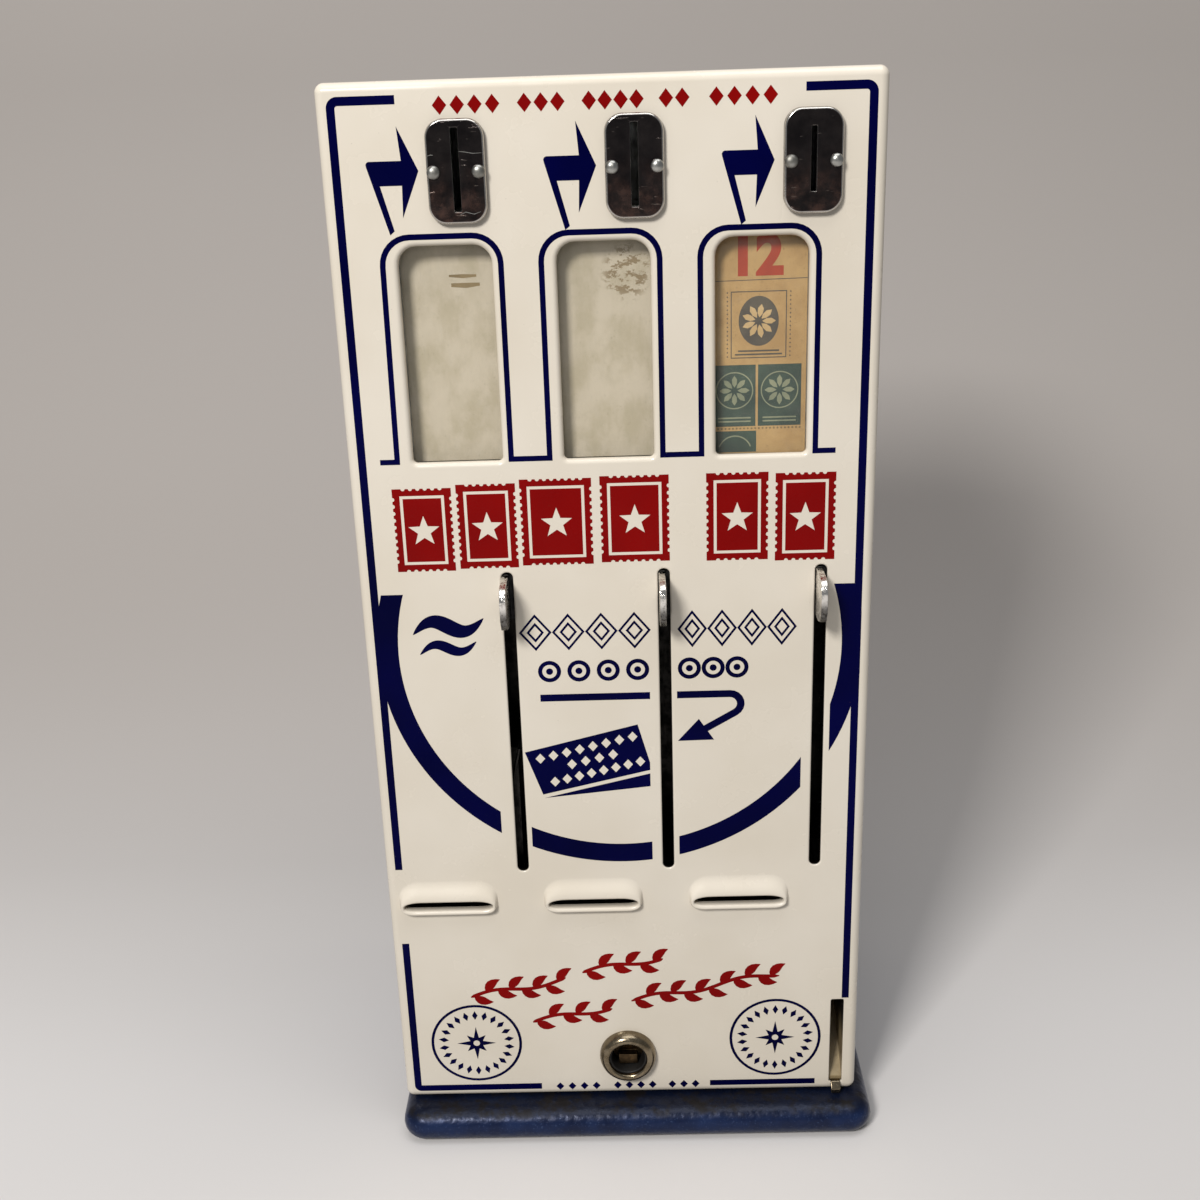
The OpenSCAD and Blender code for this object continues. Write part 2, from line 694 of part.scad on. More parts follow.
// Bent sheet behind a delivery slot that turns a falling folder outwards
module delivery_chute(i) {
  slot_edge = deliver_at(i) - exit_w / 2;
  x0 = i < 0 ? slot_edge : max(slot_edge, rod_at(i - 1) + slide_w / 2 + 0.6);
  x1 = window_at(i) + card_w / 2 - 2;
  y0 = sheet_t + 0.5;
  z0 = deliver_z - deliver_h / 2 - ramp_t;
  wall_x = min(window_at(i) + card_w / 2 + 0.3, lever_at(i) + 1);
  back = channel_y + 0.2;
  bend = back - y0;
  top = z0 + ramp_h;
  color("lightgray") on_face() {
    width_x(x0, x1) polygon(concat(
      [[y0, z0], [y0, z0 + ramp_t]],
      [for (k = [1:arc_steps]) [y0 + bend * sin(90 * k / arc_steps),
        z0 + ramp_t + ramp_bend * (1 - cos(90 * k / arc_steps))]],
      [[back, top], [chassis_y, top], [chassis_y, top - ramp_t], [back + ramp_t, top - ramp_t]],
      [for (k = [arc_steps:-1:1]) [y0 + (bend + ramp_t) * sin(90 * k / arc_steps),
        z0 + (ramp_bend + ramp_t) * (1 - cos(90 * k / arc_steps))]]
    ));
    depth_y(back - 1.6, back) polygon([
      [wall_x - 1, top], [wall_x - 1 + ramp_t, top],
      [slot_edge + exit_w + ramp_t, z0 + ramp_bend + 2], [slot_edge + exit_w, z0 + ramp_bend + 2]]);
  }
}

// Narrow sloping trough that leads rejected coins to the return slot
module coin_return_chute() {
  w = 0.8;
  x0 = return_at - return_w / 2 - w;
  x1 = return_at + return_w / 2 + w;
  y0 = sheet_t + 0.4;
  y1 = return_back;
  high = return_z0 + return_rise;
  color("antiquewhite") on_face() {
    difference() {
      width_x(x0, x1) polygon([[y0, return_z0], [y1, high], [y1, high + return_wall], [y0, return_z1 - 2]]);
      width_x(x0 + w, x1 - w) polygon([[y0 - cut, return_z0 + w], [y1 - w, high + 2 * w],
        [y1 - w, high + return_wall + cut], [y0 - cut, high + return_wall + cut]]);
    }
    for (share = [0.35, 0.8]) block(
      [x1, y0 + share * (y1 - y0), return_z0 + share * return_rise + 4],
      [case_in, y0 + share * (y1 - y0) + 6, return_z0 + share * return_rise + 9]);
  }
}

// Sloping shelf that drops the coins into the cash box
module coin_tray() {
  tray_t = 1;
  y0 = channel_y + 1.6;
  y1 = chassis_y + chassis_flange;
  z1 = tray_z + tray_fall;
  color("silver") on_face() width_x(-case_in, case_in) polygon([
    [y0, z1 + tray_edge], [y0, z1], [y1, tray_z], [y1, tray_z + tray_t],
    [y0 + tray_t, z1 + tray_t], [y0 + tray_t, z1 + tray_edge]]);
}

// Open box that catches the coins
module cash_box() {
  x = case_in - cash_side_gap;
  y0 = chassis_y + 1;
  y1 = case_back - case_t - cash_back_gap;
  z0 = -cover_gap;
  color("slategray") on_face() difference() {
    union() {
      translate([0, 0, z0]) linear_extrude(cash_h)
        polygon(soft_rect(-x, y0, x, y1, even(cash_r)));
      depth_y(y0 - pull_out, y0 + cash_t)
        polygon(soft_rect(-pull_w / 2, z0 + cash_h - pull_h, pull_w / 2, z0 + cash_h, even(1)));
    }
    translate([0, 0, z0 + cash_t]) linear_extrude(cash_h)
      polygon(soft_rect(cash_t - x, y0 + cash_t, x - cash_t, y1 - cash_t, even(cash_r - cash_t)));
    block([cash_t - pull_w / 2, y0 - pull_out - cut, z0 + cash_h - pull_h - cut],
      [pull_w / 2 - cash_t, y0 - cash_t, z0 + cash_h - cash_t]);
  }
}

// Angle that the lock's cam turns down behind
module strike_plate() {
  x = 13;
  leg = 11;
  color("silver") on_face() width_x(lock_x - x, lock_x + x) polygon([
    [strike_y - leg, case_floor], [strike_y + strike_t, case_floor], [strike_y + strike_t, leg],
    [strike_y, leg], [strike_y, case_floor + strike_t], [strike_y - leg, case_floor + strike_t]]);
}

module folder_at(i, y, t) {
  on_face() translate([window_at(i), 0, 0])
    block([-card_w / 2, y, folder_z], [card_w / 2, y + t, folder_top]);
}

// Bundles of folders behind the front one
module folder_stack() {
  color("burlywood") for (k = [0:stack_count - 1])
    folder_at(1, follower_y + k * bundle_t, bundle_t - 0.1);
}

module front_folder() { color("burlywood") folder_at(1, folder_y, folder_t); }

// Block with the cover's rolled front edges, drawn in by an inset
module cover_block(inset) {
  x = cover_w / 2 - inset;
  r = edge_r - inset;
  deep = cover_depth + (inset > 0 ? cut : 0);
  intersection() {
    linear_extrude(cover_h) polygon(soft_rect(-x, inset, x, deep, [r, r, 0, 0]));
    width_x(-x, x) polygon(soft_rect(inset, inset, deep, cover_h - inset, [r, 0, 0, r]));
  }
}

module window_shape(i, grow) {
  polygon(soft_rect(window_at(i) - opening_w / 2 - grow, window_z - grow,
    window_at(i) + opening_w / 2 + grow, window_z + window_h + grow,
    [window_low_r + grow, window_low_r + grow, window_top_r + grow, window_top_r + grow]));
}

module lever_slot_shape(i, grow) {
  x = lever_slot_w / 2 + grow;
  polygon(soft_rect(lever_at(i) - x, lever_slot_z0 - grow, lever_at(i) + x, lever_slot_z1 + grow, even(1 + grow)));
}

module return_shape(grow) {
  polygon(soft_rect(return_at - return_w / 2 - grow, return_z0 - grow,
    return_at + return_w / 2 + grow, return_z1 + grow, even(0.8 + grow)));
}

// Drawn mouth round a delivery slot: a soft hood above, a rolled lip below
module mouth(i) {
  z0 = deliver_z - deliver_h / 2 - 0.8;
  z1 = deliver_z + deliver_h / 2 + 0.8;
  x = exit_w / 2 + mouth_end;
  function swell(k) = -mouth_out * (1 - cos(180 * k / arc_steps)) / 2;
  intersection() {
    width_x(deliver_at(i) - x, deliver_at(i) + x) polygon(concat(
      [[sheet_t / 2, z1 + hood_h]],
      [for (k = [0:arc_steps]) [swell(k), z1 + hood_h * (1 - k / arc_steps)]],
      [for (k = [0:arc_steps]) [-mouth_out * cos(90 * k / arc_steps), z0 - lip_h * sin(90 * k / arc_steps)]],
      [[sheet_t / 2, z0 - lip_h]]));
    translate([deliver_at(i), 0, z0 - lip_h]) linear_extrude(z1 - z0 + hood_h + lip_h) polygon(concat(
      [[-x, sheet_t / 2]],
      [for (k = [0:arc_steps]) [-x + mouth_end * k / arc_steps, swell(k)]],
      [for (k = [arc_steps:-1:0]) [x - mouth_end * k / arc_steps, swell(k)]],
      [[x, sheet_t / 2]]));
    depth_y(-mouth_out - cut, sheet_t) polygon(soft_rect(deliver_at(i) - x, z0 - lip_h,
      deliver_at(i) + x, z1 + hood_h, [3, 3, 6, 6]));
  }
}

// Enamelled steel cover with rolled edges, slots and drawn mouths
module front_cover() {
  color("antiquewhite") on_face() difference() {
    union() {
      difference() {
        cover_block(0);
        cover_block(sheet_t);
        block([sheet_t - cover_w / 2, case_front - 0.5, -cut],
          [cover_w / 2 - sheet_t, cover_depth + cut, sheet_t + cut]);
      }
      for (s = [0, 1]) mirror([s, 0, 0]) width_x(cover_w / 2 - sheet_t, cover_w / 2)
        polygon(concat(
          [[cover_depth - cut, pivot_z - ear_foot], [cover_depth, pivot_z - ear_foot]],
          [for (k = [0:9]) [pivot_y + ear_r * cos(20 * k - 90), pivot_z + ear_r * sin(20 * k - 90)]],
          [[cover_depth - cut, pivot_z + ear_r]]));
      for (i = columns) {
        depth_y(sheet_t / 2, rim_depth) window_shape(i, rim_w);
        depth_y(sheet_t / 2, rim_depth - 0.4) lever_slot_shape(i, rim_w);
        mouth(i);
      }
    }
    for (i = columns) {
      depth_y(-cut, rim_depth + cut) window_shape(i, 0);
      depth_y(-cut, rim_depth + cut) lever_slot_shape(i, 0);
      block([coin_at(i) - coin_slot_w / 2 - 0.3, -cut, coin_z - coin_slot_h / 2 - 0.2],
        [coin_at(i) + coin_slot_w / 2 + 0.3, sheet_t + cut, coin_z + coin_slot_h / 2 + 1.2]);
      block([deliver_at(i) - exit_w / 2, -mouth_out - cut, deliver_z - deliver_h / 2],
        [deliver_at(i) + exit_w / 2, sheet_t + cut, deliver_z + deliver_h / 2]);
      for (s = [-1, 1]) bar_y(coin_at(i) + s * rivet_span / 2, coin_z, rivet_r + 0.02, -cut, sheet_t + cut);
    }
    depth_y(-cut, sheet_t + cut) return_shape(0);
    bar_y(lock_x, lock_z, barrel_r + 0.05, -cut, sheet_t + cut);
    bar_x(pivot_y, pivot_z, pivot_r + run_clear, -cover_w, cover_w);
  }
}

// Plated steel coin plate with a bevelled rim
module coin_plate(i) {
  h = i == 1 ? dime_slot_h : coin_slot_h;
  up = i == 1 ? dime_slot_up : coin_slot_up;
  x = plate_w / 2;
  z = plate_h / 2;
  b = plate_bevel;
  color("dimgray") on_face() translate([coin_at(i), 0, coin_z]) difference() {
    hull() {
      depth_y(b - plate_t, 0) polygon(soft_rect(-x, -z, x, z, even(plate_r)));
      depth_y(-plate_t, 0) polygon(soft_rect(b - x, b - z, x - b, z - b, even(plate_r - b)));
    }
    block([-coin_slot_w / 2, -plate_t - cut, up - h / 2], [coin_slot_w / 2, cut, up + h / 2]);
    for (s = [-1, 1]) bar_y(s * rivet_span / 2, 0, rivet_r + 0.02, -plate_t - cut, cut);
  }
}

// Round-headed rivets that hold the coin plates
module plate_rivets() {
  color("white") on_face() for (i = columns) for (s = [-1, 1])
    translate([coin_at(i) + s * rivet_span / 2, 0, coin_z]) rotate([90, 0, 0]) rotate_extrude()
      polygon(concat(
        [[0, -sheet_t - 0.7], [rivet_r + 0.6, -sheet_t - 0.7], [rivet_r + 0.6, -sheet_t], [rivet_r, -sheet_t],
          [rivet_r, plate_t], [rivet_head_r, plate_t]],
        [for (k = [1:5]) [rivet_head_r * cos(18 * k), plate_t + rivet_dome * sin(18 * k)]]));
}

module window_pane(i) {
  color([0.9, 0.95, 0.95, 0.3]) on_face() depth_y(pane_y, pane_y + pane_t)
    polygon(soft_rect(window_at(i) - opening_w / 2 - pane_lap, window_z - pane_lap,
      window_at(i) + opening_w / 2 + pane_lap, window_z + window_h + pane_lap, even(1.5)));
}

// Small folded clips that hold the panes against their rims
module pane_clips() {
  edge = opening_w / 2 + pane_lap;
  foot = 2.6;
  color("silver") on_face() for (i = columns) for (s = [0, 1]) for (z = [0.22, 0.78])
    translate([window_at(i), 0, window_z + z * window_h]) mirror([s, 0, 0]) {
      block([edge + 0.1, sheet_t, -3], [edge + foot, clip_back, 3]);
      block([edge - 1.6, pane_y + pane_t, -3], [edge + 0.1, clip_back, 3]);
    }
}

// Domed ring round the keyway
module lock_bezel() {
  inner = plug_r + 0.7;
  color("silver") on_face() translate([lock_x, 0, lock_z]) rotate([90, 0, 0]) rotate_extrude($fn = 64)
    polygon(concat(
      [[barrel_r + 0.05, 0], [bezel_r, 0]],
      [for (k = [0:8]) [bezel_r - 2.6 + 2.6 * cos(11.25 * k), 0.6 + (bezel_out - 0.6) * sin(11.25 * k)]],
      [[inner, bezel_out - 0.5], [inner, bezel_out - 1.2], [barrel_r + 0.05, bezel_out - 1.2]]));
}

module lock_barrel() {
  color("gray") on_face() difference() {
    bar_y(lock_x, lock_z, barrel_r, 1.25 - bezel_out, barrel_back);
    bar_y(lock_x, lock_z, plug_r + run_clear, -bezel_out - cut, barrel_back + cut);
  }
}

module lock_nut() {
  color("gray") on_face() difference() {
    translate([lock_x, sheet_t + nut_t, lock_z]) rotate([90, 0, 0]) cylinder(r = barrel_r + 3, h = nut_t, $fn = 6);
    bar_y(lock_x, lock_z, barrel_r + 0.02, 0, sheet_t + nut_t + cut);
  }
}

// Plug with a key tongue in front and a tail for the cam
module lock_plug() {
  face = 5;
  color("darkgoldenrod") on_face() translate([lock_x, 0, lock_z]) {
    bar_y(0, 0, plug_r, face, barrel_back);
    bar_y(0, 0, tail_r, barrel_back - cut, cam_y + cam_t + 3.2);
    block([-tongue_w / 2, face - tongue_out, -tongue_drop], [tongue_w / 2, face + cut, tongue_h - tongue_drop]);
  }
}

// Cam, drawn in its unlocked place to the right of the lock
module lock_cam() {
  color("silver") on_face() translate([lock_x, 0, lock_z]) difference() {
    depth_y(cam_y, cam_y + cam_t) polygon(soft_rect(-cam_w / 2, -cam_w / 2, cam_reach, cam_w / 2, [4, 2, 2, 4]));
    bar_y(0, 0, tail_r + 0.02, cam_y - cut, cam_y + cam_t + cut);
  }
}

module cam_nut() {
  color("gray") on_face() translate([lock_x, cam_y + cam_t + 2.4, lock_z]) rotate([90, 0, 0]) difference() {
    cylinder(r = tail_r + 2, h = 2.4, $fn = 6);
    translate([0, 0, -cut]) cylinder(r = tail_r + 0.02, h = 6);
  }
}

// Bent tongue at the foot of the coin return slot
module return_lip() {
  t = 0.8;
  z = return_z0;
  color("silver") on_face() width_x(return_at - lip_w / 2, return_at + lip_w / 2) polygon([
    [sheet_t, z], [sheet_t, z + t], [-0.6, z + t], [-2.6, z - 1.4], [-2.6, t / 2], [t - 2.6, t / 2],
    [t - 2.6, z - 1.6], [-0.2, z], [0, z]]);
}

// Plated lever with its crank and slide block
module lever(i) {
  x = lever_at(i);
  neck = rod_at(i) - slide_w / 2 + 0.8;
  web_y = pusher_y;
  front = 5;
  color("silver") on_face() difference() {
    union() {
      width_x(x - lever_t / 2, x + lever_t / 2) polygon(concat(
        [[web_y, lever_low], [web_y, lever_top]],
        [for (k = [0:arc_steps]) [front - lever_out - front * sin(90 * k / arc_steps),
          lever_top - front + front * cos(90 * k / arc_steps)]],
        [[-lever_out, lever_low + lever_slant], [2.6 - lever_out, lever_low + 1.6], [-7, lever_low]]));
      block([x - lever_t / 2, rim_depth + 0.3, lever_low], [rod_at(i) + slide_w / 2, web_y, lever_top]);
      block([neck, web_y - cut, lever_low], [rod_at(i) + slide_w / 2 - 0.8, slide_y0 + cut, lever_top]);
      block([rod_at(i) - slide_w / 2, slide_y0, slide_low], [rod_at(i) + slide_w / 2, slide_y0 + slide_d, lever_top]);
    }
    translate([rod_at(i), rod_y, slide_low - cut]) cylinder(r = rod_r + 0.05, h = slide_h + 2 * cut);
  }
}

// Strip that carries the lever's push up to the folder's top edge
module pusher(i) {
  x0 = rod_at(i) - pusher_w / 2;
  x1 = rod_at(i) + pusher_w / 2;
  y1 = pusher_y + pusher_t;
  reach = window_at(i) - finger_reach;
  color("silver") on_face() {
    block([x0, pusher_y, lever_top], [x1, slide_y0, lever_top + 0.9]);
    block([x0, pusher_y, lever_top], [x1, y1, finger_z + finger_h]);
    block([reach, pusher_y, finger_z], [x1, y1, finger_z + finger_h]);
    block([reach, pusher_y, finger_z], [window_at(i) + finger_reach, folder_y + folder_t, finger_z + 0.9]);
  }
}

module lever_spring(i) {
  z0 = low_bracket + bracket_t;
  color("gray") on_face() translate([rod_at(i), rod_y, z0])
    coil(lever_spring_r, lever_wire_r, slide_low - z0, lever_turns);
}

// Plate that pushes the folders forwards
module follower(i) {
  y0 = follower_y + (i == 1 ? stack_d : 0);
  x = card_w / 2 - 0.1;
  z0 = mag_z + seat_gap;
  z1 = folder_top - 0.2;
  color("beige") on_face() translate([window_at(i), y0, 0]) {
    block([-x, 0, z0], [x, follower_t, z1]);
    for (s = [0, 1]) mirror([s, 0, 0]) block([x - 1, 0, z0 + 8], [x, skirt_len, z1 - 8]);
    block([-8, 0, z1 - 1], [8, skirt_len / 2, z1]);
    bar_y(0, (z0 + z1) / 2, follower_spring_r - follower_wire_r - 0.6, follower_t, follower_t + 5);
  }
}

module follower_spring(i) {
  y0 = follower_y + follower_t + (i == 1 ? stack_d : 0);
  color("gray") on_face() translate([window_at(i), mag_back - mag_t, (mag_z + folder_top) / 2])
    rotate([90, 0, 0]) coil(follower_spring_r, follower_wire_r, mag_back - mag_t - y0, follower_turns);
}

base_casting();
case_shell();
case_screws();
pivot_rivets();
chassis_plate();
chassis_screws();
guide_brackets();
latch_brackets();
magazine(-1);  // magazine_1
magazine(0);  // magazine_2
magazine(1);  // magazine_3
coin_chute(-1);  // coin_chute_1
coin_chute(0);  // coin_chute_2
coin_chute(1);  // coin_chute_3
guide_rod(-1);  // guide_rod_1
guide_rod(0);  // guide_rod_2
guide_rod(1);  // guide_rod_3
delivery_chute(-1);  // delivery_chute_1
delivery_chute(0);  // delivery_chute_2
delivery_chute(1);  // delivery_chute_3
coin_return_chute();
coin_tray();
cash_box();
strike_plate();
folder_stack();
front_cover();
coin_plate(-1);  // coin_plate_1
coin_plate(0);  // coin_plate_2
coin_plate(1);  // coin_plate_3
plate_rivets();
window_pane(-1);  // window_pane_1
window_pane(0);  // window_pane_2
window_pane(1);  // window_pane_3
pane_clips();
lock_bezel();
lock_barrel();
lock_nut();
return_lip();
lock_plug();
lock_cam();
cam_nut();
lever(-1);  // lever_1
lever(0);  // lever_2
lever(1);  // lever_3
pusher(-1);  // pusher_1
pusher(0);  // pusher_2
pusher(1);  // pusher_3
lever_spring(-1);  // lever_spring_1
lever_spring(0);  // lever_spring_2
lever_spring(1);  // lever_spring_3
follower(-1);  // follower_1
follower(0);  // follower_2
follower(1);  // follower_3
follower_spring(-1);  // follower_spring_1
follower_spring(0);  // follower_spring_2
follower_spring(1);  // follower_spring_3
front_folder();
coin_latch(-1);  // coin_latch_1
coin_latch(0);  // coin_latch_2
coin_latch(1);  // coin_latch_3
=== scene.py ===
# %% [markdown]
# # A counter-top machine that sells stamp folders
# A tall enamelled front on a sheet-steel cabinet stands on a cast base. The working
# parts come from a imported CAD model. This lesson builds what is looked at from close
# by: the enamelled cover with its drawn mouths and its printed design, the plates,
# levers, lock and folder. Every other piece gets a finish.

import json
from math import atan2, cos, hypot, pi, radians, sin

import bmesh
import bpy
from mathutils import Matrix, Vector

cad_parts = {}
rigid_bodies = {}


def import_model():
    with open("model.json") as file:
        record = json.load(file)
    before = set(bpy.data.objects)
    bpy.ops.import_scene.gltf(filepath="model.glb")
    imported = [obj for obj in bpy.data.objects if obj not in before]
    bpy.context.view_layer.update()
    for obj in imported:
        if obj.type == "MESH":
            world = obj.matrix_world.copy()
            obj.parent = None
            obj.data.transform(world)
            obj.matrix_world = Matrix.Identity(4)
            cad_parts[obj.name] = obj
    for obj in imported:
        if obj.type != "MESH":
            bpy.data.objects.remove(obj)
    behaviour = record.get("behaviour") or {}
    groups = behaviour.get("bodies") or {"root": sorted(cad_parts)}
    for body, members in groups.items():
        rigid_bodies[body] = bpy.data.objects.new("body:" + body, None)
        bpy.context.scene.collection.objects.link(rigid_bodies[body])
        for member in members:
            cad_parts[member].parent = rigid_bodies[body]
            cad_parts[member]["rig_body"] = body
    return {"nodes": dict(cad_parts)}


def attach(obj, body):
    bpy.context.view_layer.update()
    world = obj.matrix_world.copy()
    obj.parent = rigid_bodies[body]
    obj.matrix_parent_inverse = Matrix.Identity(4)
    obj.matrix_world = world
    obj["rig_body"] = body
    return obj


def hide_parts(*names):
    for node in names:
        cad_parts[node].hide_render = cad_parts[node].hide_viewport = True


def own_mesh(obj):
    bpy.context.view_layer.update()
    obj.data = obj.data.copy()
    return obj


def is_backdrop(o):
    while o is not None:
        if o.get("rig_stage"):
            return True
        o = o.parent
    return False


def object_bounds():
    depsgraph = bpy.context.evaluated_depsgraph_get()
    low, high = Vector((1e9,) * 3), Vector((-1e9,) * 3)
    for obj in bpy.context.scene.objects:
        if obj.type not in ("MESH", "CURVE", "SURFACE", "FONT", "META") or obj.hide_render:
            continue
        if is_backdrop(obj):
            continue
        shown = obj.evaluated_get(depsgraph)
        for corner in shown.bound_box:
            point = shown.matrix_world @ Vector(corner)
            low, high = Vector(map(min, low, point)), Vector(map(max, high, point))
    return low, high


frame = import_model()
link = bpy.context.scene.collection.objects.link
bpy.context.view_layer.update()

# %% [markdown]
# ## Measuring from the cover
# Everything printed or cut on the machine is placed from its enamelled face. So it
# is drawn in millimetres in the face's own frame, X to the right from the centre
# line, Y backwards and Z up from the lower edge, and the finished mesh moves once.

# %% From the cover's frame to the machine's frame
COVER_SHIFT, FACE_DEPTH, COVER_LIFT = -2.4, -60.0, 13.5
COVER_W, COVER_H, SHEET = 178.0, 381.0, 1.2


def spot(x, y, z):
    """A point in millimetres on the cover, as a point of the machine in metres."""
    return Vector((x + COVER_SHIFT, y + FACE_DEPTH, z + COVER_LIFT)) / 1000


def window_x(i):
    return -0.8 + 50.9 * i


def coin_x(i):
    return 9.8 + 55.8 * i


def lever_x(i):
    return 16.8 + 54.25 * i


def slot_x(i):
    return -11.7 + 54.55 * i


COLUMNS = (-1, 0, 1)
PLATE_Z, MOUTH_Z = 353.6, 91.1
LOCK_X, LOCK_Z = -0.4, 19
print("windows at", [round(window_x(i), 1) for i in COLUMNS], "mm")

# %% [markdown]
# ## The camera
# The photograph was taken from a little above, close to the machine. Matching the
# cover's corners to their places in the picture gives the camera's place, its turn
# and its focal length.

# %% Camera at the photograph's angle
FOCAL_PX, CENTRE_DOWN_PX, PICTURE = 1437.93, 598.69, 1200
YAW, PITCH, ROLL = -0.021, 0.3502, 0.0332

ahead = Vector((sin(YAW) * cos(PITCH), cos(YAW) * cos(PITCH), -sin(PITCH)))
across = Vector((cos(YAW), -sin(YAW), 0.0))
below = ahead.cross(across)
right = across * cos(ROLL) + below * sin(ROLL)
down = below * cos(ROLL) - across * sin(ROLL)
lens = bpy.data.cameras.new("camera")
lens.sensor_width = 36.0
lens.lens = FOCAL_PX / PICTURE * lens.sensor_width
lens.shift_y = (CENTRE_DOWN_PX - PICTURE / 2) / PICTURE
lens.clip_start, lens.clip_end = 0.01, 20.0
camera = bpy.data.objects.new("camera", lens)
link(camera)
tilt = Matrix((right, -down, -ahead)).transposed().to_4x4()
camera.matrix_world = Matrix.Translation(spot(4.3775, -469.298, 381.1406)) @ tilt
bpy.context.scene.camera = camera
print("focal length", round(lens.lens, 2), "mm")

# %% [markdown]
# ## Shader maths as plain expressions
# A finish is a small sum: so much dirt here, a rougher patch there. One class wraps
# a socket and turns `+`, `-`, `*` and `/` into Math nodes, so the sums stay
# readable. Another holds a material, makes any other node and lays colour over
# colour.

# %% A socket that can be added and multiplied
class Amount:
    def __init__(self, finish, socket):
        self.finish, self.socket = finish, socket

    def _sum(self, operation, first, second):
        return self.finish.node("ShaderNodeMath", {"operation": operation}, {0: first, 1: second})

    def __add__(self, other):
        return self._sum("ADD", self, other)

    def __sub__(self, other):
        return self._sum("SUBTRACT", self, other)

    def __rsub__(self, other):
        return self._sum("SUBTRACT", other, self)

    def __mul__(self, other):
        return self._sum("MULTIPLY", self, other)

    def __truediv__(self, other):
        return self._sum("DIVIDE", self, other)

    __radd__, __rmul__ = __add__, __mul__

    def most(self, other):
        return self._sum("MAXIMUM", self, other)

    def size(self):
        return self.finish.node("ShaderNodeMath", {"operation": "ABSOLUTE"}, {0: self})

    def rise(self, low, high):
        """0 below low, 1 above high, and a smooth rise between them."""
        settings = {"interpolation_type": "SMOOTHSTEP"}
        return self.finish.node("ShaderNodeMapRange", settings,
                                {"Value": self, "From Min": low, "From Max": high})


print("sockets add, subtract, multiply and divide")

# %% A material whose nodes come from one method
def linear(red, green, blue):
    """A colour as it is seen, 0 to 255, as the light a renderer works with."""
    def light(v):
        v /= 255
        return v / 12.92 if v <= 0.04045 else ((v + 0.055) / 1.055) ** 2.4
    return (light(red), light(green), light(blue), 1.0)


class Finish:
    def __init__(self, name, colour):
        self.material = bpy.data.materials.new(name)
        self.material.use_nodes = True
        self.tree = self.material.node_tree
        self.tree.nodes.clear()
        self.skin = self.tree.nodes.new("ShaderNodeBsdfPrincipled")
        end = self.tree.nodes.new("ShaderNodeOutputMaterial")
        self.tree.links.new(self.skin.outputs[0], end.inputs[0])
        self.place = self.node("ShaderNodeTexCoord", out="Object")
        self.colour = linear(*colour)
        self.set(Base_Color=self.colour)

    def node(self, kind, settings=None, sockets=None, out=0):
        made = self.tree.nodes.new(kind)
        for name, value in (settings or {}).items():
            setattr(made, name, value)
        for name, value in (sockets or {}).items():
            self.feed(made.inputs[name], value)
        return Amount(self, made.outputs[out])

    def feed(self, socket, value):
        if isinstance(value, Amount):
            self.tree.links.new(value.socket, socket)
        else:
            socket.default_value = value

    def set(self, **sockets):
        for name, value in sockets.items():
            self.feed(self.skin.inputs[name.replace("_", " ")], value)

    def axis(self, which):
        return self.node("ShaderNodeSeparateXYZ", sockets={0: self.place}, out=which)

    def stretched(self, x, y, z, shift=0.0):
        return self.node("ShaderNodeMapping", sockets={
            "Vector": self.place, "Scale": (x, y, z), "Location": (shift, shift, shift)})

    def noise(self, mm, detail=3.0, rough=0.5, where=None):
        """Cloudy values around 0.5 whose patches are about mm across."""
        return self.node("ShaderNodeTexNoise", {}, {
            "Vector": where or self.place, "Scale": 1000 / mm, "Detail": detail,
            "Roughness": rough})

    def cells(self, mm, where, feature="F1"):
        return self.node("ShaderNodeTexVoronoi", {"feature": feature}, {"Vector": where, "Scale": 1000 / mm})

    def coat(self, share, colour):
        """Puts a colour over what is there. The share is how much of it shows."""
        self.colour = self.node("ShaderNodeMix", {"data_type": "RGBA"},
                                {0: share, 6: self.colour, 7: linear(*colour)}, 2)
        self.set(Base_Color=self.colour)

    def relief(self, height, mm, strength):
        self.set(Normal=self.node("ShaderNodeBump", {}, {
            "Height": height, "Distance": mm / 1000, "Strength": strength}))


print("a material is built by name")

# %% [markdown]
# ## Studio
# A pale floor sweeps up into a pale wall under a soft lamp in front and an even
# world. The lamp stands to the left, so that the shadow falls to the right as in
# the photograph. The floor's colour for the camera is set in its material, so that
# it adds no light to the machine.

